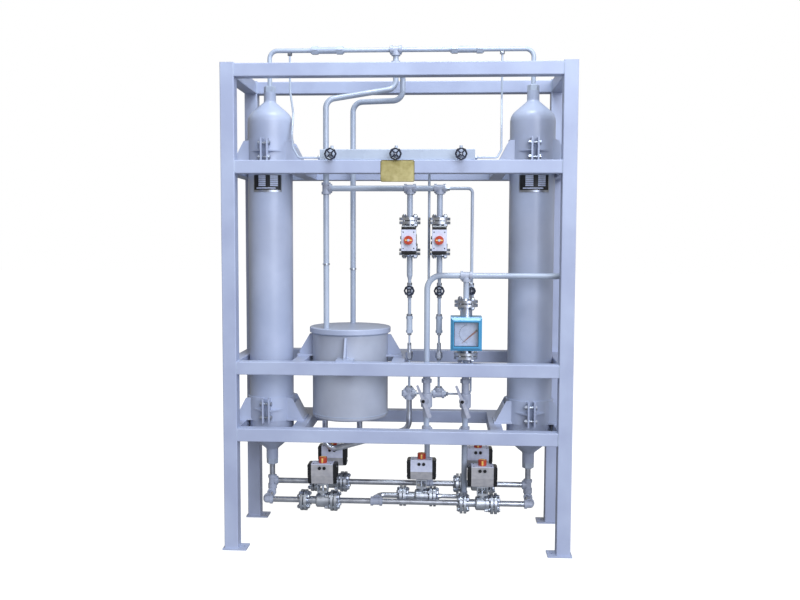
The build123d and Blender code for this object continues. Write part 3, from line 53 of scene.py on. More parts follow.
def addNode(tree, kind, settings=None, inputs=None, links=None):
    # settings are the node's own fields, inputs its socket values, links {socket: (node, output)}
    node = tree.nodes.new(kind)
    for field, value in (settings or {}).items():
        setattr(node, field, value)
    for socket, value in (inputs or {}).items():
        node.inputs[socket].default_value = value
    for socket, (source, output) in (links or {}).items():
        tree.links.new(source.outputs[output], node.inputs[socket])
    return node


def startMaterial(name, shader):
    material = bpy.data.materials.new(name)
    material.use_nodes = True
    tree = material.node_tree
    tree.nodes.clear()
    surface = addNode(tree, "ShaderNodeBsdfPrincipled", inputs=shader)
    addNode(tree, "ShaderNodeOutputMaterial", links={"Surface": (surface, "BSDF")})
    return material, tree, surface


def mottle(tree, surface, low, high, grainMm, spread=(0.35, 0.65), detail=4.0):
    # colour that drifts between two close tones, one drift per grainMm
    place = addNode(tree, "ShaderNodeTexCoord")
    cloud = addNode(tree, "ShaderNodeTexNoise", inputs={"Scale": 1000 / grainMm, "Detail": detail},
                    links={"Vector": (place, "Object")})
    tones = addNode(tree, "ShaderNodeMapRange", inputs={"From Min": spread[0], "From Max": spread[1]},
                    links={"Value": (cloud, "Fac")})
    blend = addNode(tree, "ShaderNodeMix", {"data_type": "RGBA"}, links={"Factor": (tones, "Result")})
    blend.inputs[6].default_value = linear(low)
    blend.inputs[7].default_value = linear(high)
    tree.links.new(blend.outputs[2], surface.inputs["Base Color"])
    return place, cloud


def roughen(tree, surface, cloud, low, high):
    patch = addNode(tree, "ShaderNodeMapRange", inputs={"To Min": low, "To Max": high},
                    links={"Value": (cloud, "Fac")})
    tree.links.new(patch.outputs["Result"], surface.inputs["Roughness"])


def grain(tree, surface, place, pitchMm, heightMm, stretch=(1, 1, 1), detail=2.0):
    # a fine relief, pitchMm apart and heightMm deep; stretch draws it out along one axis
    axes = addNode(tree, "ShaderNodeMapping", inputs={"Scale": stretch}, links={"Vector": (place, "Object")})
    relief = addNode(tree, "ShaderNodeTexNoise", inputs={"Scale": 1000 / pitchMm, "Detail": detail},
                     links={"Vector": (axes, "Vector")})
    bump = addNode(tree, "ShaderNodeBump", inputs={"Strength": 0.6, "Distance": heightMm / 1000},
                   links={"Height": (relief, "Fac")})
    tree.links.new(bump.outputs["Normal"], surface.inputs["Normal"])


# Polyurethane enamel sprayed on steel: an even satin skin with a faint orange peel
def sprayedEnamel(name, low, high, roughness, coat=0.15):
    material, tree, surface = startMaterial(name, {"Roughness": roughness, "IOR": 1.5, "Coat Weight": coat,
                                                   "Coat Roughness": 0.25})
    place, cloud = mottle(tree, surface, low, high, 260)
    roughen(tree, surface, cloud, roughness - 0.06, roughness + 0.08)
    grain(tree, surface, place, 7, 0.25)  # real peel is about 2 mm, drawn coarser so that it shows
    return material


# Turned or cast stainless steel: bright, with the tool's or the mould's texture
def stainless(name, low, high, roughness, pitchMm, heightMm, stretch=(1, 1, 1)):
    material, tree, surface = startMaterial(name, {"Metallic": 1.0, "Roughness": roughness})
    place, cloud = mottle(tree, surface, low, high, 40)
    roughen(tree, surface, cloud, roughness - 0.08, roughness + 0.1)
    grain(tree, surface, place, pitchMm, heightMm, stretch)
    return material


# Moulded or coated parts: one colour, a fine eggshell texture, soft highlights
def moulded(name, low, high, roughness, pitchMm=3, heightMm=0.12, coat=0.0):
    material, tree, surface = startMaterial(name, {"Roughness": roughness, "IOR": 1.49, "Coat Weight": coat})
    place, cloud = mottle(tree, surface, low, high, 25)
    roughen(tree, surface, cloud, roughness - 0.05, roughness + 0.07)
    grain(tree, surface, place, pitchMm, heightMm)
    return material


# Pale violet-blue paint: the frame matt, towers and pipes glossier, drum and fittings greyer
frameEnamel = sprayedEnamel("frameEnamel", "#A8B0C9", "#B4BDD4", 0.42)
towerEnamel = sprayedEnamel("towerEnamel", "#A8B1C7", "#B7BFD3", 0.36)
fittingEnamel = sprayedEnamel("fittingEnamel", "#A2A8B8", "#B3B9C7", 0.36)
drumEnamel = sprayedEnamel("drumEnamel", "#A6ABB8", "#B5BAC5", 0.38)
pipeEnamel = sprayedEnamel("pipeEnamel", "#A9B3C4", "#BAC4D2", 0.26, 0.45)
# Steels: long highlights and dark edges on pipes, crisp glints on flanges, grainy valve bodies, dull bolts
pickledPipe = stainless("pickledPipe", "#C2C6D0", "#DCE0E8", 0.30, 4, 0.05)
turnedStainless = stainless("turnedStainless", "#C3C8D2", "#DDE2EA", 0.30, 2, 0.05)
castStainless = stainless("castStainless", "#BEC3CC", "#DEE3E9", 0.38, 3, 0.15)
zincPlate = stainless("zincPlate", "#9FA4AE", "#C0C5CE", 0.34, 2, 0.04)
# Actuators: bright anodised faces, painted shade below the waist (a darker, greyer, duller copy of the
# aluminium), ribbed black caps, an orange and yellow indicator
anodisedAluminium = moulded("anodisedAluminium", "#CBCFE2", "#D9DDEC", 0.36, 2, 0.06, 0.2)
# the actuators' aluminium made darker, greyer and duller, as painted shade on their lower part
scuffedAluminium = moulded("scuffedAluminium", "#A6A5A8", "#B6B4B4", 0.45, 2, 0.06)
blackEpoxy = moulded("blackEpoxy", "#08080A", "#16161A", 0.35, coat=0.3)
indicatorPlastic = moulded("indicatorPlastic", "#B23A22", "#C94A2C", 0.34, coat=0.3)
yellowPlastic = moulded("yellowPlastic", "#E9B94C", "#F4D27C", 0.4)
# Wheels nearly black with a blue sheen, the meter sky blue and glossy, levers pale and smooth
wheelEnamel = moulded("wheelEnamel", "#141826", "#2A3148", 0.3, coat=0.5)
meterEnamel = moulded("meterEnamel", "#4796C3", "#52A1CC", 0.33, coat=0.4)
leverPlate = moulded("leverPlate", "#B4B8C8", "#CACDDA", 0.34, 2, 0.05, 0.3)
dialPaint = moulded("dialPaint", "#B4BCD4", "#C3CADF", 0.55, 4, 0.03)
# Dull gaskets, chalky beads, brushed brass with a darker rim, flat printing ink, heavier paint on the welds
graphite = moulded("graphite", "#1C1D20", "#2C2E33", 0.6)
desiccantBeads = moulded("desiccantBeads", "#DDD9CE", "#F1EEE6", 0.8, 4, 1.5)
brassPlate = stainless("brassPlate", "#B5A970", "#CFC48E", 0.38, 1.5, 0.03, (1, 1, 14))
brassRim = stainless("brassRim", "#7E7448", "#978C5C", 0.45, 1.5, 0.03)
platePrint = moulded("platePrint", "#111214", "#1D1E21", 0.45, 2, 0.02)
pointerPaint = moulded("pointerPaint", "#7A351C", "#96482A", 0.4)
dialInk = moulded("dialInk", "#4A5468", "#5A6478", 0.5)
weldPaint = sprayedEnamel("weldPaint", "#A2ADBF", "#B4BFCF", 0.48)
glass = startMaterial("meterGlass", {"Base Color": linear("#EAF2F4"), "Roughness": 0.03, "IOR": 1.5,
                                     "Alpha": 0.08})[0]
print("materials made")

finishes = {
    "frameEnamel": (frameEnamel, ("posts", "foot_plates", "top_rails", "upper_rails", "middle_rails",
                                  "lower_rails")),
    "towerEnamel": (towerEnamel, ("tower_left", "tower_right", "tower_clamps", "drum_lid", "drum_feet")),
    "drumEnamel": (drumEnamel, ("drum_shell",)),
    "pipeEnamel": (pipeEnamel, ("top_header_pipes", "drum_pipes", "outlet_pipes", "purge_pipes",
                                "instrument_tubes", "manifold_bar", "neck_plugs", "check_valve_bodies",
                                "needle_valve_bodies", "link_pipes", "column_tubes")),
    "fittingEnamel": (fittingEnamel, ("forged_fittings", "pipe_unions", "lever_valve_bodies")),
    "pickledPipe": (pickledPipe, ("bottom_line_pipes", "sloping_pipe")),
    "turnedStainless": (turnedStainless, ("pipe_flanges", "meter_tube")),
    "castStainless": (castStainless, ("ball_valve_bodies", "ball_valve_tailpieces", "actuator_brackets",
                                      "bed_screens")),
    "zincPlate": (zincPlate, ("clamp_bolts",)),
    "blackEpoxy": (blackEpoxy, ("actuator_end_caps",)),
    "meterEnamel": (meterEnamel, ("meter_case",)),
    "dialPaint": (dialPaint, ("meter_dial",)),
    "meterGlass": (glass, ("meter_window",)),
    "graphite": (graphite, ("flange_gaskets",)),
    "desiccantBeads": (desiccantBeads, ("desiccant_beds",)),
}


def dress(node, materials, choose=None):
    # gives a node its materials; choose(centre) picks one for each face
    mesh = nodes[node].data
    mesh.materials.clear()
    for material in materials:
        mesh.materials.append(material)
    for face in mesh.polygons:
        face.material_index = choose(face.center) if choose else 0


for material, members in finishes.values():
    for node in members:
        dress(node, [material])

print("nodes dressed")


def addCone(bm, start, end, radius, endRadius=None, sides=24, part=0):
    # a round or many-sided bar from one point to another, with flat ends
    start, end = Vector(start), Vector(end)
    turn = (end - start).to_track_quat("Z", "Y").to_matrix().to_4x4()
    place = Matrix.Translation((start + end) / 2) @ turn
    made = bmesh.ops.create_cone(bm, cap_ends=True, segments=sides, radius1=radius,
                                 radius2=radius if endRadius is None else endRadius,
                                 depth=(end - start).length, matrix=place)
    for face in {f for v in made["verts"] for f in v.link_faces}:
        face.material_index = part
    return made["verts"]


def addBlock(bm, centre, size, place=Matrix(), part=0):
    spread = place @ Matrix.Translation(centre) @ Matrix.Diagonal((*size, 1))
    made = bmesh.ops.create_cube(bm, size=1.0, matrix=spread)
    for face in {f for v in made["verts"] for f in v.link_faces}:
        face.material_index = part
    return made["verts"]


def addHex(bm, place, flats, low, high, crown=0.0015, part=0):
    # a hexagon nut along place's Z, with its corners turned off at the outer end
    across = flats / math.sqrt(3)
    rings = [(across * 0.93, low), (across, low + crown), (across, high - crown), (across * 0.93, high)]
    corners = [(math.cos(math.radians(60 * k)), math.sin(math.radians(60 * k))) for k in range(6)]
    loops = [[bm.verts.new(place @ Vector((r * c, r * s, z))) for c, s in corners] for r, z in rings]
    faces = [bm.faces.new(reversed(loops[0])), bm.faces.new(loops[-1])]
    for lower, upper in zip(loops, loops[1:]):
        for k in range(6):
            after = (k + 1) % 6
            faces.append(bm.faces.new((lower[k], lower[after], upper[after], upper[k])))
    for face in faces:
        face.material_index = part


def addBead(bm, centre, axis, radius, width, sides=40):
    # a weld bead: a low round ring about a pipe or a vessel
    turn = Matrix.Translation(centre) @ Vector(axis).to_track_quat("Z", "Y").to_matrix().to_4x4()
    rim = [(radius + width * proud, width * along)
           for proud, along in ((-0.15, -0.5), (0.22, -0.25), (0.3, 0), (0.22, 0.25), (-0.15, 0.5))]
    rows = []
    for k in range(sides):
        turnBy = 2 * math.pi * k / sides
        swell = 1 + 0.0012 * math.sin(turnBy * 9)
        out = Vector((swell * math.cos(turnBy), swell * math.sin(turnBy), 0))
        rows.append([bm.verts.new(turn @ (out * r + Vector((0, 0, z)))) for r, z in rim])
    for k in range(sides):
        here, after = rows[k], rows[(k + 1) % sides]
        for j in range(len(rim) - 1):
            bm.faces.new((here[j], after[j], after[j + 1], here[j + 1]))


def makePiece(name, bm, materials, body=skid, smooth=35):
    mesh = bpy.data.meshes.new(name)
    bmesh.ops.recalc_face_normals(bm, faces=bm.faces)
    bm.to_mesh(mesh)
    bm.free()
    for material in materials:
        mesh.materials.append(material)
    mesh.polygons.foreach_set("use_smooth", [True] * len(mesh.polygons))
    mesh.set_sharp_from_angle(angle=math.radians(smooth))
    piece = bpy.data.objects.new(name, mesh)
    bpy.context.scene.collection.objects.link(piece)
    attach(piece, body)
    return piece


# The seven flanged valves: where each stem crosses its pipe, the pipe's way and the stem's way
flangedValves = {
    "frontLeft": ((-0.446, -0.166, 0.254), (1, 0, 0), (0, 0, 1)),
    "frontRight": ((0.501, -0.166, 0.254), (1, 0, 0), (0, 0, 1)),
    "centre": ((0.140, -0.083, 0.267), (1, 0, 0), (0, 0, 1)),
    "rearLeft": ((-0.408, 0.0, 0.322), (1, 0, 0), (0, 0, 1)),
    "rearRight": ((0.480, 0.0, 0.322), (1, 0, 0), (0, 0, 1)),
    "columnA": ((0.066, -0.150, 1.806), (0, 0, -1), (0, -1, 0)),
    "columnB": ((0.240, -0.150, 1.806), (0, 0, -1), (0, -1, 0)),
}
rotorNodes = {"frontLeft": "valve_rotor_front_left", "frontRight": "valve_rotor_front_right",
              "centre": "valve_rotor_centre", "rearLeft": "valve_rotor_rear_left",
              "rearRight": "valve_rotor_rear_right", "columnA": "valve_rotor_column_a",
              "columnB": "valve_rotor_column_b"}
# Forged fittings: centre, and the ways out of it that are welded to a pipe
weldedFittings = [
    (-0.028, 0, 2.930, ((-1, 0, 0), (1, 0, 0), (0, 0, -1))), (-0.028, 0, 2.830, ((0, 0, 1), (0, 0, -1))),
    (-0.425, -0.150, 2.106, ((0, 0, 1), (0, 0, -1), (1, 0, 0))),
    (0.066, -0.150, 2.106, ((-1, 0, 0), (1, 0, 0), (0, 0, -1))),
    (0.240, -0.150, 2.106, ((-1, 0, 0), (0, 0, -1))),
    (0.066, -0.150, 0.903, ((0, 0, -1),)), (0.396, -0.220, 1.603, ((-1, 0, 0), (1, 0, 0), (0, 0, -1))),
    (0.171, -0.220, 0.690, ((0, 0, 1), (1, 0, 0), (0, 0, -1))),
    (0.396, -0.220, 0.690, ((0, 0, 1), (-1, 0, 0), (0, 0, -1))),
    (0.171, 0, 0.322, ((-1, 0, 0), (1, 0, 0), (0, 0, 1))), (-0.126, -0.166, 0.254, ((-1, 0, 0), (1, 0, 0))),
    (-0.784, 0, 0.322, ((0, 0, 1), (1, 0, 0))), (0.784, 0, 0.322, ((0, 0, 1), (-1, 0, 0))),
    (-0.784, 0, 0.254, ((0, -1, 0),)), (0.784, 0, 0.254, ((0, -1, 0),)),
    (-0.784, -0.166, 0.254, ((0, 1, 0), (1, 0, 0))), (0.784, -0.166, 0.254, ((0, 1, 0), (-1, 0, 0))),
]


def valvePlace(name):
    origin, flow, stem = (Vector(part) for part in flangedValves[name])
    across = stem.cross(flow)
    turn = Matrix((flow, across, stem)).transposed().to_4x4()
    return Matrix.Translation(origin) @ turn


# Valve rotors: a steel stem and ball below, an orange indicator with a yellow bar above the housing
indicatorTop = {"low": 0.2292, "high": 0.1702}
for name in flangedValves:
    upright = not name.startswith("column")
    top = indicatorTop["low" if upright else "high"]
    tall = 0.032 if upright else 0.020
    toValve = valvePlace(name).inverted()
    dress(rotorNodes[name], [indicatorPlastic, castStainless, yellowPlastic],
          lambda c: 1 if (toValve @ c).z < top + 0.0008 else
          (2 if upright and (toValve @ c).z > top + tall + 0.0012 else 0))

# Actuator housings: bright faces, with painted shade below the waist of the five that stand upright, where
# they are greyer
waist = {"height": 0.105 + 0.42 * 0.124, "under": 0.6}
dress("actuator_housings", [anodisedAluminium, scuffedAluminium],
      lambda c: 1 if c.z < waist["under"] and min(
          (c - Vector(flangedValves[name][0])).z - waist["height"]
          for name in flangedValves if (c - Vector(flangedValves[name][0])).length < 0.3) < 0 else 0)

# Air fittings are black and the other small fittings bright
airPorts = [valvePlace(name) @ Vector((x, -0.045, 0.2042 if name[:6] != "column" else 0.135))
            for name in flangedValves for x in (-0.014, 0.014)]
dress("tube_fittings", [turnedStainless, blackEpoxy],
      lambda c: 1 if min((c - port).length for port in airPorts) < 0.014 else 0)

# Levers: pale plated bars with a dark nut at the pivot
leverOut = Vector((-0.3420, -0.9397, 0))
leverNut = 0.0506
for name, pivot in (("lever_left", (0.171, -0.220, 0.877)), ("lever_right", (0.396, -0.220, 0.877))):
    dress(name, [leverPlate, blackEpoxy],
          lambda c: 1 if (c - Vector(pivot)).dot(leverOut) > leverNut else 0)

# Pointer: a painted blade with a black hub
pointerHub = Vector((0.454, -0.300, 1.293))
dress("meter_pointer", [pointerPaint, blackEpoxy],
      lambda c: 1 if (c - pointerHub).length < 0.0085 else 0)
print("small nodes dressed")

# Studs and nuts through each pair of flanges
studs = {"radius": 0.008, "flats": 0.024, "nut": 0.013, "tail": 0.006, "grip": 0.019, "circle": 0.04445,
         "meterCircle": 0.0492}
bm = bmesh.new()
flangeJoints = [(valvePlace(name) @ Matrix.Translation((x, 0, 0)) @ Matrix.Rotation(math.radians(90), 4, "Y"),
                 studs["circle"]) for name in flangedValves for x in (-0.112, 0.068)]
flangeJoints += [(Matrix.Translation((0.396, -0.220, z)), studs["meterCircle"]) for z in (1.444, 1.142)]
for joint, circle in flangeJoints:
    for k in range(4):
        spot = joint @ Matrix.Rotation(math.radians(45 + 90 * k), 4, "Z") @ Matrix.Translation((circle, 0, 0))
        reach = studs["grip"] + studs["nut"] + studs["tail"]
        addCone(bm, spot @ Vector((0, 0, -reach)), spot @ Vector((0, 0, reach)), studs["radius"], sides=16)
        addHex(bm, spot, studs["flats"], studs["grip"] + 0.0002, studs["grip"] + studs["nut"])
        addHex(bm, spot, studs["flats"], -studs["grip"] - studs["nut"], -studs["grip"] - 0.0002)
makePiece("flangeStuds", bm, [zincPlate])

# Bolts in lugs round the joint of each valve's two halves
joints = {"circle": 0.047, "lug": 0.0085, "low": 0.0203, "high": 0.0397, "flats": 0.013, "head": 0.007,
          "bolt": 0.004}
bm = bmesh.new()
for name in flangedValves:
    for k in range(4):
        spot = (valvePlace(name) @ Matrix.Rotation(math.radians(45 + 90 * k), 4, "X")
                @ Matrix.Translation((0, joints["circle"], 0)) @ Matrix.Rotation(math.radians(90), 4, "Y"))
        near, far = Vector((0, 0, joints["low"])), Vector((0, 0, joints["high"]))
        addCone(bm, spot @ near, spot @ far, joints["lug"])
        addHex(bm, spot, joints["flats"], joints["low"] - joints["head"], joints["low"], 0.001, 1)
        addHex(bm, spot, joints["flats"], joints["high"], joints["high"] + joints["head"], 0.001, 1)
        tip = joints["high"] + joints["head"] + 0.003
        addCone(bm, spot @ far, spot @ Vector((0, 0, tip)), joints["bolt"], sides=12, part=1)
makePiece("valveJointBolts", bm, [castStainless, zincPlate])

# Actuator trim: cover screws on top, ribs and screws on the end caps
trim = {"screw": 0.0035, "head": 0.0012, "rib": 0.004, "ribs": 5, "ribProud": 0.0025, "ribMiddle": 0.62,
        "ribTall": 0.58, "capScrew": 0.005}
bm = bmesh.new()
for name in flangedValves:
    place = valvePlace(name)
    upright = not name.startswith("column")
    base, tall, half = (0.105, 0.124, 0.065) if upright else (0.078, 0.092, 0.060)
    for x in (-half + 0.014, half - 0.014):
        for y in (-0.030, 0.030):
            foot = place @ Vector((x, y, base + tall - 0.0002))
            head = place @ Vector((x, y, base + tall + trim["head"]))
            addCone(bm, foot, head, trim["screw"], sides=14, part=1)
    for side in (-1, 1):
        outer = side * (half + 0.0205)
        for k in range(trim["ribs"]):
            y = -0.028 + k * 0.014
            addBlock(bm, (outer, y, base + tall * trim["ribMiddle"]),
                     (2 * trim["ribProud"], trim["rib"], tall * trim["ribTall"]), place)
        for y, z in ((-0.031, 0.88), (0.031, 0.88), (-0.021, 0.16), (0.021, 0.16)):
            head = place @ Vector((outer + side * 0.0035, y, base + tall * z))
            foot = place @ Vector((outer - side * 0.003, y, base + tall * z))
            addCone(bm, foot, head, trim["capScrew"], sides=14, part=2)
makePiece("actuatorTrim", bm, [blackEpoxy, platePrint, zincPlate])

# Indicators: a yellow stripe down each tall one, a pale button and two yellow bars on each flat one
mark = {"halfAngle": 11, "steps": 6, "button": 0.0085, "buttonTop": 0.0070, "rise": 0.0048, "barOut": 0.0135,
        "bar": (0.007, 0.011, 0.0016),
        "profile": ((0.0249, 0.003), (0.0256, 0.004), (0.0256, 0.0285), (0.0249, 0.0295))}
for name in flangedValves:
    bm = bmesh.new()
    place = valvePlace(name)
    if name.startswith("column"):
        centre = Vector((0, 0, indicatorTop["high"] + 0.0195))
        top = centre + Vector((0, 0, mark["rise"]))
        addCone(bm, place @ centre, place @ top, mark["button"], mark["buttonTop"], 28)
        for side in (-1, 1):
            bar = place @ Matrix.Translation((0, side * mark["barOut"], indicatorTop["high"] + 0.0205))
            addBlock(bm, (0, 0, 0), mark["bar"], bar, 1)
        materials = [dialPaint, yellowPlastic]
    else:
        for turn in (-90, 90):
            stripe = place @ Matrix.Rotation(math.radians(turn), 4, "Z")
            rows = []
            for k in range(mark["steps"] + 1):
                angle = math.radians(mark["halfAngle"] * (2 * k / mark["steps"] - 1))
                out = Vector((math.cos(angle), math.sin(angle), 0))
                rows.append([bm.verts.new(stripe @ (out * r + Vector((0, 0, indicatorTop["low"] + z))))
                             for r, z in mark["profile"]])
            for one, other in zip(rows, rows[1:]):
                for j in range(3):
                    bm.faces.new((one[j], other[j], other[j + 1], one[j + 1]))
        materials = [yellowPlastic]
    makePiece("indicatorMark_" + name, bm, materials, body=rotorNodes[name].replace("valve_rotor", "rotor"))
print("valve trim made")

# Handwheels: a scalloped rim on four spokes, a hub with its nut, and the spindle
wheels = {"rim": 0.0054, "lobes": 8, "scallop": 0.07, "hub": 0.0105, "hubFront": 0.0075, "spindle": 0.0037,
          "spoke": 0.0052, "spokeEnd": 0.0038, "nutFlats": 0.011, "steps": 64, "ring": 10}
for place in ("column_a", "column_b", "bypass", "manifold_left", "manifold_middle", "manifold_right"):
    low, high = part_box("handwheel_" + place)
    radius = (high[0] - low[0]) / 2
    centre = Vector(((low[0] + high[0]) / 2, low[1] + 0.0057, (low[2] + high[2]) / 2))
    bm = bmesh.new()
    rows = []
    for k in range(wheels["steps"]):
        angle = 2 * math.pi * k / wheels["steps"]
        dip = wheels["scallop"] * (0.5 - 0.5 * math.cos(wheels["lobes"] * angle))
        reach = (radius - wheels["rim"]) * (1 - dip)
        out = Vector((math.cos(angle), 0, math.sin(angle)))
        rows.append([bm.verts.new(centre + out * (reach + wheels["rim"] * math.cos(t))
                                  + Vector((0, wheels["rim"] * math.sin(t), 0)))
                     for t in (2 * math.pi * j / wheels["ring"] for j in range(wheels["ring"]))])
    for k in range(wheels["steps"]):
        one, other = rows[k], rows[(k + 1) % wheels["steps"]]
        for j in range(wheels["ring"]):
            after = (j + 1) % wheels["ring"]
            bm.faces.new((one[j], other[j], other[after], one[after]))
    for k in range(4):
        angle = math.radians(45 + 90 * k)
        out = Vector((math.cos(angle), 0, math.sin(angle)))
        addCone(bm, centre + out * 0.004, centre + out * (radius - wheels["rim"] * 1.4), wheels["spoke"],
                wheels["spokeEnd"], 10)
    addCone(bm, centre + Vector((0, 0.0045, 0)), centre + Vector((0, -0.0022, 0)), wheels["hub"],
            wheels["hubFront"], 24)
    toFront = Matrix.Translation(centre) @ Matrix.Rotation(math.radians(90), 4, "X")
    addHex(bm, toFront, wheels["nutFlats"], 0.0022, 0.0043, 0.0008, 1)
    spindleEnd = Vector((centre.x, high[1], centre.z))
    addCone(bm, centre + Vector((0, 0.0040, 0)), spindleEnd, wheels["spindle"], sides=16, part=1)
    piece = makePiece("handwheel" + place.title().replace("_", ""), bm, [wheelEnamel, zincPlate],
                      body="wheel_" + place)
    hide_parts("handwheel_" + place)

# Gold nameplate on the upper front rail: a bare brass plate with a raised border and four rivets
plate = {"x": (-0.092, 0.099), "z": (2.132, 2.2535), "back": -0.3376, "front": -0.3394, "border": 0.0045,
         "raised": 0.0004, "rivet": 0.0028, "margin": 0.008}
bm = bmesh.new()
for inset, front in ((0, plate["front"]), (plate["border"], plate["front"] + plate["raised"])):
    corners = []
    for sideX, sideZ, firstAngle in ((0, 0, 180), (1, 0, 270), (1, 1, 0), (0, 1, 90)):
        x = plate["x"][sideX] + (inset if sideX == 0 else -inset)
        z = plate["z"][sideZ] + (inset if sideZ == 0 else -inset)
        cornerRound = 0.009 - inset * 0.6
        for k in range(5):
            angle = math.radians(firstAngle + 22.5 * k)
            cx = x + (cornerRound if sideX == 0 else -cornerRound)
            cz = z + (cornerRound if sideZ == 0 else -cornerRound)
            corners.append((cx + cornerRound * math.cos(angle), cz + cornerRound * math.sin(angle)))
    if inset == 0:
        outerBack = [bm.verts.new((x, plate["back"], z)) for x, z in corners]
        outerFront = [bm.verts.new((x, front, z)) for x, z in corners]
        for k in range(len(corners)):
            j = (k + 1) % len(corners)
            bm.faces.new((outerBack[k], outerBack[j], outerFront[j], outerFront[k]))
        bm.faces.new(outerBack)
    else:
        ridge = [bm.verts.new((x, plate["front"], z)) for x, z in corners]
        floorEdge = [bm.verts.new((x, front, z)) for x, z in corners]
        for k in range(len(corners)):
            j = (k + 1) % len(corners)
            for one, other in ((outerFront, ridge), (ridge, floorEdge)):
                bm.faces.new((one[k], one[j], other[j], other[k])).material_index = 2
        bm.faces.new(floorEdge)
for x in (plate["x"][0] + plate["margin"], plate["x"][1] - plate["margin"]):
    for z in (plate["z"][0] + plate["margin"], plate["z"][1] - plate["margin"]):
        addCone(bm, (x, plate["front"] + 0.001, z), (x, plate["front"] - 0.0012, z), plate["rivet"],
                0.0014, 14, 1)
makePiece("goldPlate", bm, [brassPlate, zincPlate, brassRim], smooth=25)

# Tower plates: black panels bent round the towers, with a bright frame and blank pale fields
towerPlates = {"tall": (2.087, 2.190), "radius": 0.1336, "thick": 0.0012, "frame": 0.004, "foot": 0.012,
               "fields": ((0.20, 0.46), (0.62, 0.88)), "lines": 6, "firstLine": 0.034, "pitch": 0.0108,
               "line": 0.0086}
bm = bmesh.new()


def bentPanel(axisX, xs, zs, inner, outer, part):
    # a panel bent about a tower's axis, from x to x and z to z, between two radii
    turns = [math.asin(max(-0.99, min(0.99, (x - axisX) / outer))) for x in xs]
    steps = 14
    rows = []
    for k in range(steps + 1):
        turn = turns[0] + (turns[1] - turns[0]) * k / steps
        out = Vector((math.sin(turn), -math.cos(turn), 0))
        rows.append([bm.verts.new(Vector((axisX, 0, z)) + out * r)
                     for r, z in ((inner, zs[0]), (outer, zs[0]), (outer, zs[1]), (inner, zs[1]))])
    faces = [bm.faces.new(rows[0]), bm.faces.new(reversed(rows[-1]))]
    for one, other in zip(rows, rows[1:]):
        faces += [bm.faces.new((one[j], one[(j + 1) % 4], other[(j + 1) % 4], other[j])) for j in range(4)]
    for face in faces:
        face.material_index = part


for axisX, start, end in ((-0.784, -0.862, -0.696), (0.784, 0.700, 0.872)):
    low, high = towerPlates["tall"]
    r, t, f = towerPlates["radius"], towerPlates["thick"], towerPlates["frame"]
    bentPanel(axisX, (start, end), (low, high), r, r + t, 1)
    bentPanel(axisX, (start + f, end - f), (low + towerPlates["foot"], high - f), r + t, r + 1.6 * t, 0)
    wide = end - start
    for a, b in towerPlates["fields"]:
        for row in range(towerPlates["lines"]):
            z = low + towerPlates["firstLine"] + row * towerPlates["pitch"]
            bentPanel(axisX, (start + a * wide, start + b * wide), (z, z + towerPlates["line"]),
                      r + 1.6 * t, r + 2 * t, 2)
    bentPanel(axisX, (start + 0.12 * wide, start + 0.80 * wide), (low + 0.019, low + 0.026),
              r + 1.6 * t, r + 2 * t, 2)
makePiece("towerPlates", bm, [platePrint, zincPlate, dialPaint], smooth=30)

# Meter: the dial's scale with blank ticks, and the dark seal round the glass
scale = {"centre": (0.408, 1.276), "radius": 0.050, "line": 0.0009, "from": 100, "to": 262, "ticks": 13,
         "front": -0.29625}
bm = bmesh.new()
middle = Vector((scale["centre"][0], scale["front"], scale["centre"][1]))
arc = []
for k in range(41):
    angle = math.radians(scale["from"] + (scale["to"] - scale["from"]) * k / 40)
    out = Vector((math.cos(angle), 0, math.sin(angle)))
    arc.append([bm.verts.new(middle + out * r)
                for r in (scale["radius"] - scale["line"], scale["radius"] + scale["line"])])
for one, other in zip(arc, arc[1:]):
    bm.faces.new((one[0], other[0], other[1], one[1]))
for k in range(scale["ticks"]):
    angle = math.radians(scale["from"] + (scale["to"] - scale["from"]) * k / (scale["ticks"] - 1))
    long = 0.009 if k % 3 == 0 else 0.005
    out = Vector((math.cos(angle), 0, math.sin(angle)))
    across = Vector((-math.sin(angle), 0, math.cos(angle)))
    root = middle + out * scale["radius"]
    bm.faces.new([bm.verts.new(root + out * a + across * b)
                  for a, b in ((0, -0.0006), (long, -0.0006), (long, 0.0006), (0, 0.0006))])
makePiece("dialScale", bm, [dialInk])

# Pointer blade: a wide tapering vane on the thin arm, from the hub to the tip
blade = {"pivot": (0.454, 1.293), "y": -0.3009, "thick": 0.0006, "drop": 41, "long": 0.109, "root": 0.0056,
         "tip": 0.0008, "start": 0.006}
bm = bmesh.new()
along = Vector((-math.cos(math.radians(blade["drop"])), 0, -math.sin(math.radians(blade["drop"]))))
across = Vector((along.z, 0, -along.x))
hub = Vector((blade["pivot"][0], blade["y"], blade["pivot"][1]))
outline = [hub + along * a + across * b
           for a, b in ((blade["start"], -blade["root"]), (blade["long"], -blade["tip"]),
                        (blade["long"], blade["tip"]), (blade["start"], blade["root"]))]
bladeBack = [bm.verts.new(corner) for corner in outline]
bladeFront = [bm.verts.new(corner - Vector((0, blade["thick"], 0))) for corner in outline]
bm.faces.new(bladeBack)
bm.faces.new(bladeFront)
for k in range(4):
    bm.faces.new((bladeBack[k], bladeBack[(k + 1) % 4], bladeFront[(k + 1) % 4], bladeFront[k]))
makePiece("pointerBlade", bm, [pointerPaint], body="pointer")

seal = {"half": 0.069, "wide": 0.003, "back": -0.3279, "front": -0.3335, "middle": (0.396, 1.276)}
bm = bmesh.new()
for k in range(4):
    turn = Matrix.Rotation(math.radians(90 * k), 4, "Y")
    place = Matrix.Translation((seal["middle"][0], 0, seal["middle"][1])) @ turn
    y = (seal["back"] + seal["front"]) / 2
    size = (2 * seal["half"], seal["back"] - seal["front"], seal["wide"])
    addBlock(bm, (0, y, seal["half"] - seal["wide"] / 2), size, place)
makePiece("glassSeal", bm, [blackEpoxy])
print("plates and meter trim made")

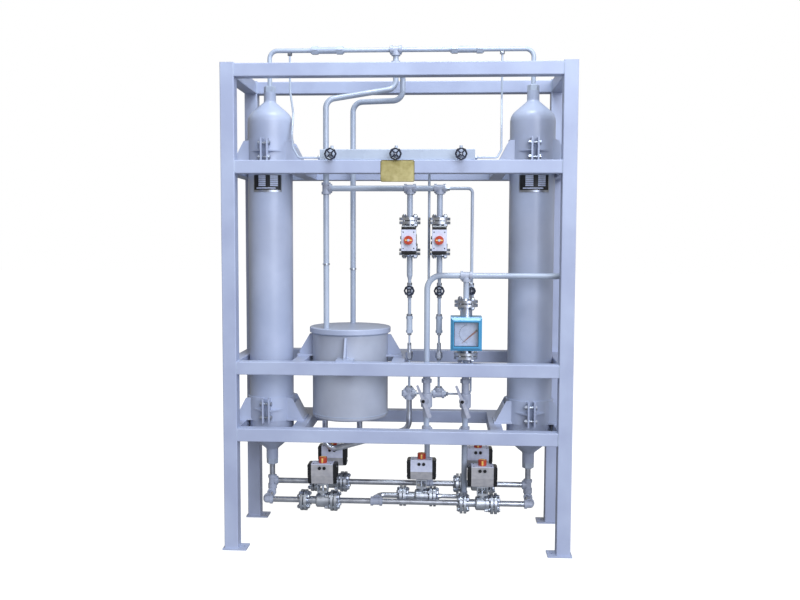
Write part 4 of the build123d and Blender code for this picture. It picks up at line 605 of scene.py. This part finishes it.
# Tube nuts: where a tube ends in a valve, a stack or the manifold
nutStack = ((1.544, 1, 0.026, 0.014), (1.482, -1, 0.026, 0.014), (1.362, 1, 0.030, 0.012),
            (1.262, -1, 0.022, 0.012), (1.193, 1, 0.020, 0.011), (1.115, -1, 0.024, 0.012))
nuts = [((x, -0.150, z), (0, 0, up), flats, long) for z, up, flats, long in nutStack for x in (0.066, 0.240)]
nuts += [
    ((0.428, -0.150, 1.544), (0, 0, 1), 0.026, 0.014), ((0.428, -0.150, 1.482), (0, 0, -1), 0.022, 0.012),
    ((0.284, -0.150, 2.106), (1, 0, 0), 0.027, 0.013), ((0.284, -0.150, 0.903), (1, 0, 0), 0.022, 0.012),
    ((-0.436, -0.300, 2.270), (-1, 0, 0), 0.022, 0.014), ((0.436, -0.300, 2.270), (1, 0, 0), 0.022, 0.014),
    ((-0.662, 0, 2.9165), (0, 0, -1), 0.024, 0.016), ((0.600, 0, 2.9165), (0, 0, -1), 0.024, 0.016)]
bm = bmesh.new()
for point, way, flats, long in nuts:
    turn = Matrix.Translation(point) @ Vector(way).to_track_quat("Z", "Y").to_matrix().to_4x4()
    addHex(bm, turn, flats, 0.0002, long, 0.0012)
makePiece("tubeNuts", bm, [zincPlate])

# Weld beads: at the ends of the fittings and flange hubs, on the vessels, and round the ends of the rails
bm = bmesh.new()
pipeRadius = 0.0168
for name in flangedValves:
    place = valvePlace(name)
    for x in (-0.1405, 0.0965):
        addBead(bm, place @ Vector((x, 0, 0)), place.to_3x3() @ Vector((1, 0, 0)), pipeRadius, 0.006)
for z in (1.4725, 1.1135):
    addBead(bm, (0.396, -0.220, z), (0, 0, 1), pipeRadius, 0.006)
for x, y, z, ways in weldedFittings:
    for way in ways:
        addBead(bm, Vector((x, y, z)) + 0.0352 * Vector(way), way, pipeRadius, 0.005, 28)
for z in (0.764, 1.246):
    addBead(bm, (-0.300, 0, z), (0, 0, 1), 0.2285, 0.007, 96)


def seam(start, end, size=0.003):
    # a straight fillet weld with a slight ripple
    start, end = Vector(start), Vector(end)
    steps = max(4, int((end - start).length / 0.004))
    turn = (end - start).to_track_quat("Z", "Y").to_matrix()
    rows = []
    for k in range(steps + 1):
        swell = size * (0.85 + 0.15 * math.cos(k * math.pi)) if 0 < k < steps else size * 0.3
        here = start.lerp(end, k / steps)
        rows.append([bm.verts.new(here + turn @ Vector((swell * math.cos(t), swell * math.sin(t), 0)))
                     for t in (0, 1.257, 2.513, 3.770, 5.027)])
    for one, other in zip(rows, rows[1:]):
        for j in range(5):
            bm.faces.new((one[j], other[j], other[(j + 1) % 5], one[(j + 1) % 5]))


for top in (2.795, 2.255, 1.106, 0.716):
    low = top - 0.075
    for sideX in (-1, 1):
        for sideY in (-1, 1):
            x, y = sideX * 0.920, sideY * 0.260
            for face in (sideY * 0.3375, sideY * 0.2625):
                seam((x, face, low + 0.004), (x, face, top - 0.004))
            seam((x, sideY * 0.2665, top), (x, sideY * 0.3335, top))
            for face in (sideX * 0.9975, sideX * 0.9225):
                seam((face, y, low + 0.004), (face, y, top - 0.004))
makePiece("weldBeads", bm, [weldPaint])
print("fittings and welds made")

# Studio: white surroundings that only the camera sees as pure white, a big key light from the front
# right and above, and soft fill
studio = {"key": 5000.0, "keyPlace": (10.5, -19.5, 9.5), "keySize": 19.0, "keyTint": "#E6EDFF",
          "top": 170.0, "topPlace": (0.3, -1.6, 6.0), "topSize": 2.0, "topTint": "#E6F2FF",
          "fill": 0.38, "fillTint": "#FFFBF2", "floorGlow": 0.92}
world = bpy.data.worlds.new("studio")
bpy.context.scene.world = world
world.use_nodes = True
sky = world.node_tree
sky.nodes.clear()
ray = addNode(sky, "ShaderNodeLightPath")
seen = addNode(sky, "ShaderNodeBackground", inputs={"Color": (1, 1, 1, 1), "Strength": 1.0})
glow = addNode(sky, "ShaderNodeBackground",
               inputs={"Color": linear(studio["fillTint"]), "Strength": studio["fill"]})
pick = addNode(sky, "ShaderNodeMixShader", links={0: (ray, "Is Camera Ray"), 1: (glow, "Background"),
                                                  2: (seen, "Background")})
addNode(sky, "ShaderNodeOutputWorld", links={"Surface": (pick, "Shader")})


def areaLight(name, place, target, size, power, tint):
    lamp = bpy.data.lights.new(name, "AREA")
    lamp.shape = "DISK"
    lamp.size = size
    lamp.energy = power
    lamp.color = linear(tint)[:3]
    holder = bpy.data.objects.new(name, lamp)
    bpy.context.scene.collection.objects.link(holder)
    holder.location = place
    holder.rotation_euler = (Vector(target) - Vector(place)).to_track_quat("-Z", "Y").to_euler()


areaLight("keyLight", studio["keyPlace"], (0, 0, 1.6), studio["keySize"], studio["key"], studio["keyTint"])
areaLight("topLight", studio["topPlace"], (0, 0, 2.6), studio["topSize"], studio["top"], studio["topTint"])

floorSize = 40.0
floorMesh = bpy.data.meshes.new("floor")
floorMesh.from_pydata([(x * floorSize, y * floorSize, 0) for x, y in ((-1, -1), (1, -1), (1, 1), (-1, 1))],
                      [], [(0, 1, 2, 3)])
floor = bpy.data.objects.new("floor", floorMesh)
bpy.context.scene.collection.objects.link(floor)
floorPaint, floorTree, floorSurface = startMaterial("floorPaint", {
    "Base Color": (0.33, 0.33, 0.33, 1), "Roughness": 0.9, "Specular IOR Level": 0.0,
    "Emission Color": (1, 1, 1, 1)})
floorRay = addNode(floorTree, "ShaderNodeLightPath")
floorGlow = addNode(floorTree, "ShaderNodeMath", {"operation": "MULTIPLY"}, {1: studio["floorGlow"]},
                    {0: (floorRay, "Is Camera Ray")})
floorTree.links.new(floorGlow.outputs["Value"], floorSurface.inputs["Emission Strength"])
floorMesh.materials.append(floorPaint)

# Camera, from the photograph's perspective lines
view = {"place": (0.2911, -5.2346, 1.8183), "turn": 3.1656, "down": 4.0774, "roll": 0.2080, "lens": 39.126}
lensBody = bpy.data.cameras.new("camera")
lensBody.lens = view["lens"]
lensBody.sensor_width = 36
camera = bpy.data.objects.new("camera", lensBody)
bpy.context.scene.collection.objects.link(camera)
camera.matrix_world = (Matrix.Translation(view["place"])
                       @ Matrix.Rotation(math.radians(view["turn"]), 4, "Z")
                       @ Matrix.Rotation(math.radians(90 - view["down"]), 4, "X")
                       @ Matrix.Rotation(math.radians(view["roll"]), 4, "Z"))
bpy.context.scene.camera = camera
bpy.context.scene.view_settings.view_transform = "Standard"
print("studio and camera set")
